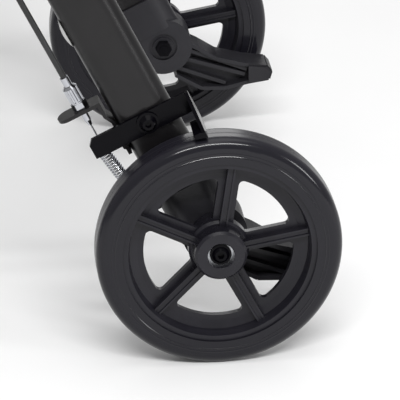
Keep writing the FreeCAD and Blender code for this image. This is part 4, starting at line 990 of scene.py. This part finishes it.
@dataclass
class AdjusterTrim:
    """The plated ferrule on a barrel adjuster, the threaded tail under its ledge, and the bare wire.

    The ferrule's outline is pairs of place and radius. The wire lies over the span, the stretch gives two
    places along its line, and the nipple has its radius and half its length.
    """

    side: Side
    line: tuple[float, float] = (0.0435, 0.202)
    ferrule: tuple[tuple[float, float], ...] = (
        (0.1645, 0.0036), (0.1652, 0.0039), (0.1665, 0.0036), (0.1735, 0.0033), (0.1755, 0.0031),
        (0.1762, 0.0027))
    tail: tuple[float, float] = (0.146, 0.1315)
    tail_radius: float = 0.0027
    tail_taper: float = 0.0016
    thread: float = 0.00022
    thread_pitch: float = 0.0009
    threaded: float = 0.55
    span: tuple[float, float] = (0.1465, 0.1056)
    stretch: tuple[float, float] = (0.146, 0.129)
    nipple: tuple[float, float] = (0.0021, 0.0014)
    strand: float = 0.00078
    ripple: float = 0.00006
    lay: float = 0.0016
    core: float = 0.0006

    def turned(self, up: np.ndarray, radius: np.ndarray) -> np.ndarray:
        """A profile turned round the cable's line beside the leg.

        Args:
            up: the places along the leg.
            radius: the radius at each place.

        Returns:
            The grid of points.
        """
        angle = ring_angles(28)
        across = self.line[0] + radius[:, None] * np.cos(angle)
        out = self.line[1] + radius[:, None] * np.sin(angle)
        rise = np.broadcast_to(up[:, None], across.shape)
        grid = beside_leg(np.stack((across, out, rise), -1))
        grid[..., 1] *= self.side.value
        return grid

    def wire(self, finishes: Finishes) -> None:
        """Draws the bare brake wire, from inside the adjuster to its nipple under the brake arm.

        The radius is the strand's, with a ripple that follows the cosine of the place over the strand's lay.
        Near the nipple's middle it swells to the nipple's radius with the square root of one less the fourth
        power of the distance, as a barrel does.

        Args:
            finishes: the shared finishes.
        """
        up = np.linspace(self.span[0], self.span[1], 200)
        strand = self.strand + self.ripple * np.cos(2 * math.pi * up / self.lay)
        away = np.abs(up - self.span[1] - self.nipple[1]) / self.nipple[1]
        swell = np.sqrt(np.clip(1 - away ** 4, 0, 1))
        radius = np.maximum(strand * (away > 1), self.nipple[0] * swell)
        radius = np.maximum(radius, self.core)
        name = f"{self.side.word}_brake_wire"
        wire = sheet_object(name, self.turned(up, radius), finishes.steel)
        ends = beside_leg(np.array([(self.line[0], self.line[1], place) for place in self.stretch]))
        ends[:, 1] *= self.side.value
        f"{self.side.word}_brake_arm"
        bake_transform(wire)
        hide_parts("brake_wires")

    def build(self, finishes: Finishes) -> None:
        """Turns the ferrule from its outline, the tail as a thread that tapers to the wire, and the wire.

        The tail's radius falls by its taper with the square of its share, and the thread follows the cosine
        of the place over its pitch on the upper part.

        Args:
            finishes: the shared finishes.
        """
        outline = np.array(self.ferrule)
        top = sheet_object(f"{self.side.word}_cable_ferrule", self.turned(outline[:, 0], outline[:, 1]),
                           finishes.ferrule)
        share = np.linspace(0, 1, 120)
        up = self.tail[0] + share * (self.tail[1] - self.tail[0])
        ridge = self.thread * np.cos(2 * math.pi * (up - self.tail[1]) / self.thread_pitch)
        radius = self.tail_radius - self.tail_taper * share ** 2 + ridge * (share < self.threaded)
        low = sheet_object(f"{self.side.word}_adjuster_tail", self.turned(up, radius), finishes.chrome)
        for piece, slot in ((top, "brass"), (low, "chrome")):
            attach(piece, "frame")
        self.wire(finishes)
        log.info("%s adjuster: ferrule, tail and wire", self.side.word)


@dataclass
class FrontCable:
    """The jacketed brake cable of one side, from its lever down the stem to the beam.

    The route is steering-axis places, and each cut is a height along that axis.
    """

    side: Side
    radius: float = 0.0025
    route: tuple[Point, ...] = (
        (0.0243, 0.1048, 0.830), (0.0301, 0.0632, 0.830), (0.036, 0.032, 0.806), (0.036, 0.017, 0.764),
        (0.031, 0.014, 0.712), (0.027, 0.014, 0.660), (0.026, 0.014, 0.606), (0.031, 0.014, 0.552),
        (0.037, 0.014, 0.500), (0.038, 0.014, 0.446), (0.033, 0.014, 0.392), (0.026, 0.015, 0.342),
        (0.018, 0.018, 0.300), (0.009, 0.025, 0.260), (-0.011, 0.030, 0.217), (-0.0426, 0.029, 0.1923))
    beam_points: tuple[Point, ...] = ((0.1832, 0.025, 0.2722), (0.1459, 0.025, 0.2866))
    cuts: tuple[float, float] = (0.54, 0.385)

    def line(self) -> np.ndarray:
        """The cable's smooth centre line in the row frame.

        Returns:
            The line's points, n by 3.
        """
        mirror = np.array((1, self.side.value, 1))
        points = np.concatenate((steering(np.array(self.route)), np.array(self.beam_points))) * mirror
        return smooth_run(points)

    def build(self, finishes: Finishes) -> None:
        """Makes the cable in three lengths.

        The lengths are parted where the line's place along the steering axis, which is the row-frame offset
        times the axis's direction, passes each cut, and neighbours share the point at the cut.

        Args:
            finishes: the shared finishes.
        """
        line = self.line()
        along = (line - STEERING_FOOT) @ np.array((-math.sin(STEERING_LEAN), 0, math.cos(STEERING_LEAN)))
        first, second = (int(np.argmax(along < cut)) for cut in self.cuts)
        spans = (
            ("upper", line[: first + 1], "stem", "handlebar", 0.57, 0.74),
            ("middle", line[first: second + 1], "steering_column", "stem", 0.40, 0.52),
            ("lower", line[second:], "frame", "steering_column", 0.20, 0.33),
        )
        for word, path, below, above, start, end in spans:
            grid = tube(path, self.radius, unit(np.array((1.0, float(self.side.value), -1.0))), 14)
            piece = sheet_object(f"{self.side.word}_front_cable_{word}", grid, finishes.jacket)
            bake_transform(piece)
            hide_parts("front_cables")
        length = float(np.linalg.norm(np.diff(line, axis=0), axis=-1).sum())
        log.info("%s front cable: %.0f mm in three lengths", self.side.word, 1000 * length)


@dataclass
class Grip:
    """A ribbed rubber grip with a flange at its inner end and a closed outer end."""

    side: Side
    inner: float = 0.0284
    outer: float = 0.150
    radius: float = 0.0152
    flange: float = 0.0182
    rib: float = 0.0009
    pitch: float = 0.0052
    flange_length: float = 0.004
    flange_fall: float = 0.003
    plain_end: float = 0.012
    end_rounding: float = 0.006
    sweep: float = math.radians(8)
    bend: float = 0.105
    bar: float = 0.830

    def profile(self) -> tuple[np.ndarray, np.ndarray]:
        """The grip's outline: its place along the bar and its radius there.

        Past the flange the radius is the grip's own plus the rib's height times the squared cosine of the
        place over the pitch. The flange falls to it in a smooth step, and the end rounds to nothing.

        Returns:
            The places and the radii.
        """
        place = np.linspace(self.inner, self.outer, 340)
        wave = self.rib * np.cos(math.pi * (place - self.inner) / self.pitch) ** 2
        from_flange = np.clip((place - self.inner - self.flange_length) / self.flange_fall, 0, 1)
        near_end = np.clip((self.outer - self.plain_end - place) / 0.004, 0, 1)
        body = self.radius + wave * from_flange * near_end
        step = smooth_step(from_flange)
        radius = self.flange * (1 - step) + body * step
        lead = np.clip((place - self.inner) / 0.0012, 0, 1)
        tail = np.clip((self.outer - place) / self.end_rounding, 0, 1)
        round_in = 0.72 + 0.28 * np.sqrt(1 - (1 - lead) ** 2)
        round_out = np.sqrt(np.clip(1 - (1 - tail) ** 2, 0, 1))
        return place, radius * round_in * round_out

    def build(self, finishes: Finishes) -> None:
        """Turns the outline round the bar's swept-back end.

        Args:
            finishes: the shared finishes.
        """
        place, radius = self.profile()
        angle = ring_angles(48)
        ahead = radius[:, None] * np.cos(angle)
        up = radius[:, None] * np.sin(angle)
        along = np.broadcast_to(place[:, None], ahead.shape)
        u = math.cos(self.sweep) * ahead - math.sin(self.sweep) * along
        y = self.bend + math.sin(self.sweep) * ahead + math.cos(self.sweep) * along
        grid = steering(np.stack((u, y, self.bar + up), -1))
        grid[..., 1] *= self.side.value
        grip = sheet_object(f"{self.side.word}_grip", grid, finishes.grip)
        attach(grip, "handlebar")
        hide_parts("handlebar_grips")
        log.info("%s grip: %.0f mm long", self.side.word, 1000 * (self.outer - self.inner))


@dataclass
class Cushion:
    """The knee cushion: vinyl over foam, crowned, sewn with piping round its upper and lower edges."""

    squareness: float = 4.6
    inset: float = 0.006
    crown: float = 0.007
    pull: float = 0.022
    voxel: float = 0.0055
    cap: float = 0.009
    frames: int = 20
    pressure: float = 4.0
    headroom: float = 0.009
    edge: float = 0.013
    base_edge: float = 0.006
    held_height: float = 0.007
    piping: float = 0.0021
    low: np.ndarray = field(init=False)
    high: np.ndarray = field(init=False)

    def __post_init__(self) -> None:
        """Takes the cushion's room from the model."""
        low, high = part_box("knee_pad")
        self.low, self.high = np.array(low, float), np.array(high, float)

    @property
    def centre(self) -> np.ndarray:
        """The middle of the cushion's room."""
        return (self.low + self.high) / 2

    def outline(self, angle: np.ndarray, share: Union[float, np.ndarray] = 1.0) -> np.ndarray:
        """The plan outline: a squared-off oval whose sides pull in between its corners.

        Each axis is its half size times the sign and the 2/squareness power of the cosine or sine of the
        angle. The whole is multiplied by one less the pull times the squared cosine of twice the angle.

        Args:
            angle: the angles round it.
            share: the share of the full outline.

        Returns:
            The points in plan, with x and y in the last axis.
        """
        half = (self.high - self.low)[:2] / 2 - self.inset
        power = 2 / self.squareness
        cos, sin = np.cos(angle), np.sin(angle)
        size = share * (1 - self.pull * np.cos(2 * angle) ** 2)
        x = half[0] * np.sign(cos) * np.abs(cos) ** power * size
        y = half[1] * np.sign(sin) * np.abs(sin) ** power * size
        return np.stack((x + self.centre[0], y + self.centre[1]), -1)

    def blank(self, finishes: Finishes) -> bpy.types.Object:
        """The cushion before it is filled: flat below, upright sides with rounded edges, and a low crown.

        The profile's share of the outline and its height go from the middle of the base out to its edge, up a
        quarter circle, up the side, over another quarter circle, and in over the crown, whose height falls
        with the square of the share.

        Args:
            finishes: the shared finishes.

        Returns:
            The blank.
        """
        base, top = self.low[2] + 0.0005, self.high[2] - self.headroom
        edge, base_edge = self.edge, self.base_edge
        half = (self.high - self.low)[1] / 2 - self.inset
        quarter = np.linspace(0, math.pi / 2, 9)
        flat = np.linspace(0.02, 1 - base_edge / half, 20)
        share = np.concatenate((
            flat, 1 - (base_edge - base_edge * np.sin(quarter)) / half, np.ones(6),
            1 - (edge - edge * np.cos(quarter)) / half, np.linspace(1 - edge / half, 0.02, 22)[1:]))
        height = np.concatenate((
            np.full(20, base), base + base_edge - base_edge * np.cos(quarter),
            np.linspace(base + base_edge, top - edge, 8)[1:-1], top - edge + edge * np.sin(quarter),
            np.full(21, top)))
        inner = np.clip(share / (1 - edge / half), 0, 1)
        height = height + self.crown * (1 - inner ** 2) * (height >= top - 1e-9)
        angle = ring_angles(160)
        plan = self.outline(angle[None, :], share[:, None])
        grid = np.concatenate((plan, np.broadcast_to(height[:, None, None], (*plan.shape[:2], 1))), -1)
        return sheet_object("cushion_blank", grid, finishes.vinyl)

    def fill(self, blank: bpy.types.Object, finishes: Finishes) -> bpy.types.Object:
        """Blows the blank up as cloth held at its base, and keeps each point's move under the cap.

        Args:
            blank: the unfilled cushion.
            finishes: the shared finishes.

        Returns:
            The filled cushion, with its result in its mesh.
        """
        skin = blank.modifiers.new("skin", "REMESH")
        skin.mode = "VOXEL"
        skin.voxel_size = self.voxel
        mesh = bpy.data.meshes.new_from_object(blank.evaluated_get(bpy.context.evaluated_depsgraph_get()))
        bpy.data.objects.remove(blank)
        cushion = placed(mesh, "knee_cushion", finishes.vinyl)
        rest = vertex_places(mesh)
        held = cushion.vertex_groups.new(name="held")
        base = np.flatnonzero(rest[:, 2] < self.low[2] + self.held_height)
        held.add(base.tolist(), 1.0, "REPLACE")
        cloth = cushion.modifiers.new("filling", "CLOTH")
        cloth.settings.quality = 6
        cloth.settings.mass = 0.4
        cloth.settings.use_pressure = True
        cloth.settings.uniform_pressure_force = self.pressure
        cloth.settings.effector_weights.gravity = 0
        cloth.settings.vertex_group_mass = "held"
        cloth.collision_settings.use_collision = False
        scene = bpy.context.scene
        for step in range(1, self.frames + 1):
            scene.frame_set(step)
        result = cushion.evaluated_get(bpy.context.evaluated_depsgraph_get())
        moved = vertex_places(result.data)
        cushion.modifiers.remove(cloth)
        scene.frame_set(1)
        shift = moved - rest
        reach = np.linalg.norm(shift, axis=-1, keepdims=True)
        shift *= self.cap * np.tanh(reach / self.cap) / np.maximum(reach, 1e-9)
        mesh.vertices.foreach_set("co", (rest + shift).ravel())
        mesh.update()
        log.info("cushion filling: mean move %.1f mm", 1000 * float(reach.mean()))
        finer = cushion.modifiers.new("finer", "SUBSURF")
        finer.levels = finer.render_levels = 1
        return cushion

    def seam_line(self, cushion: bpy.types.Object, heights: tuple[float, float], shares: tuple[float, float],
                  count: int) -> np.ndarray:
        """A closed line on the cushion's skin, from the skin's points in a band.

        The band's points are sorted by their angle in plan. Their radius and height are read off between
        neighbours at even angles along the outline, then averaged over nine steps round the loop.

        Args:
            cushion: the filled cushion.
            heights: the band's lowest and highest height.
            shares: the band's inner and outer share of the outline.
            count: the points in the line.

        Returns:
            The line, count by 3.
        """
        points = vertex_places(cushion.data)
        flat = points[:, :2] - self.centre[:2]
        fine = np.linspace(-math.pi, math.pi, 1441)
        rim = self.outline(fine) - self.centre[:2]
        rim_angle = np.arctan2(rim[:, 1], rim[:, 0])
        order = np.argsort(rim_angle)
        rim_radius = np.linalg.norm(rim, axis=-1)[order]
        rim_angle = rim_angle[order]
        angle = np.arctan2(flat[:, 1], flat[:, 0])
        radius = np.linalg.norm(flat, axis=-1)
        share = radius / np.interp(angle, rim_angle, rim_radius, period=2 * math.pi)
        keep = (points[:, 2] > heights[0]) & (points[:, 2] < heights[1])
        keep &= (share > shares[0]) & (share < shares[1])
        steps = np.linalg.norm(np.diff(rim[order], axis=0), axis=-1)
        reach = np.concatenate(([0.0], np.cumsum(steps)))
        even = np.interp(np.linspace(0, reach[-1], count, endpoint=False), reach, rim_angle)
        sort = np.argsort(angle[keep])
        along = angle[keep][sort]
        skin_share = np.interp(even, along, share[keep][sort], period=2 * math.pi)
        skin_height = np.interp(even, along, points[keep][sort, 2], period=2 * math.pi)
        window = np.ones(9) / 9
        skin_share, skin_height = (
            np.convolve(np.concatenate((line[-4:], line, line[:4])), window, "valid")
            for line in (skin_share, skin_height))
        skin_radius = skin_share * np.interp(even, rim_angle, rim_radius, period=2 * math.pi)
        x = self.centre[0] + skin_radius * np.cos(even)
        y = self.centre[1] + skin_radius * np.sin(even)
        return np.stack((x, y, skin_height), -1)

    def stitches(self, line: np.ndarray, name: str, finishes: Finishes) -> bpy.types.Object:
        """A row of short stitches along a line, each a bead of thread that sinks at both ends.

        Each stitch has five rings of six points. Its rings are spread along the line's direction, with radii
        and heights that follow the sine of their share of the stitch.

        Args:
            line: the closed line, one point for each stitch.
            name: the piece's name.
            finishes: the shared finishes.

        Returns:
            The row of stitches.
        """
        ahead = np.roll(line, -1, 0) - line
        tangent = unit(ahead)
        up = np.broadcast_to(np.array((0.0, 0.0, 1.0)), tangent.shape)
        across = unit(np.cross(tangent, up))
        lift = np.cross(across, tangent)
        share = np.linspace(0, 1, 5)
        angle = ring_angles(6)
        swell = np.sin(math.pi * np.clip(share, 0.04, 0.96))
        size = np.linalg.norm(ahead, axis=-1)[:, None, None, None]
        run = (share[:, None] * 0.72 * np.ones(6))[None, ..., None] * size * tangent[:, None, None]
        side = (0.0005 * swell[:, None] * np.cos(angle))[None, ..., None] * across[:, None, None]
        rise = (0.0005 * swell[:, None] * np.sin(angle) + 0.0004 * swell[:, None])[None, ..., None]
        points = line[:, None, None] + run + side + rise * lift[:, None, None]
        ring, column = np.meshgrid(np.arange(4), np.arange(6), indexing="ij")
        turn = (column + 1) % 6
        one = np.stack((ring * 6 + column, (ring + 1) * 6 + column,
                        (ring + 1) * 6 + turn, ring * 6 + turn), -1)
        faces = (one.reshape(1, -1, 4) + 30 * np.arange(len(line))[:, None, None]).reshape(-1, 4).tolist()
        ends = np.stack((np.arange(6)[::-1], 24 + np.arange(6)))
        faces += (ends[None] + 30 * np.arange(len(line))[:, None, None]).reshape(-1, 6).tolist()
        mesh = bpy.data.meshes.new(name)
        mesh.from_pydata(points.reshape(-1, 3).tolist(), [], faces)
        return placed(mesh, name, finishes.thread)

    def build(self, finishes: Finishes) -> None:
        """Makes the cushion, its two rows of piping and its row of stitches.

        Args:
            finishes: the shared finishes.
        """
        cushion = self.fill(self.blank(finishes), finishes)
        top, base = self.high[2] - self.headroom, self.low[2]
        edges = (("upper_piping", top - 0.013, top - 0.004), ("lower_piping", base + 0.006, base + 0.013))
        up = np.array((0.0, 0.0, 1.0))
        trims = []
        for name, lowest, highest in edges:
            line = self.seam_line(cushion, (lowest, highest), (0.93, 1.2), 300)
            grid = tube(line, self.piping, up, 10, closed=True)
            trims.append(sheet_object(name, grid, finishes.piping, along=True))
        sewn = self.seam_line(cushion, (top - 0.006, top + 0.03), (0.80, 0.90), 260)
        sewn[:, 2] += 0.0002
        trims.append(self.stitches(sewn, "cushion_stitches", finishes))
        for piece in (cushion, *trims):
            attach(piece, "seat")
            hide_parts("knee_pad")
        log.info("cushion: piping and %d stitches", len(sewn))


def main() -> None:
    """Builds every class in order."""
    logging.basicConfig(level=logging.INFO, format="%(name)s: %(message)s")
    Studio().build()
    finishes = Finishes.mixed()
    Chassis().build(finishes)
    dress(finishes.jacket, "rear_cables")
    for end in ("front", "rear"):
        for side in Side:
            Wheel(end, side).build(finishes)
    for side in Side:
        ReturnSpring(side).build(finishes)
        AdjusterTrim(side).build(finishes)
        FrontCable(side).build(finishes)
        Grip(side).build(finishes)
    Cushion().build(finishes)
    log.info("boxes written")


if __name__ == "__main__":
    main()
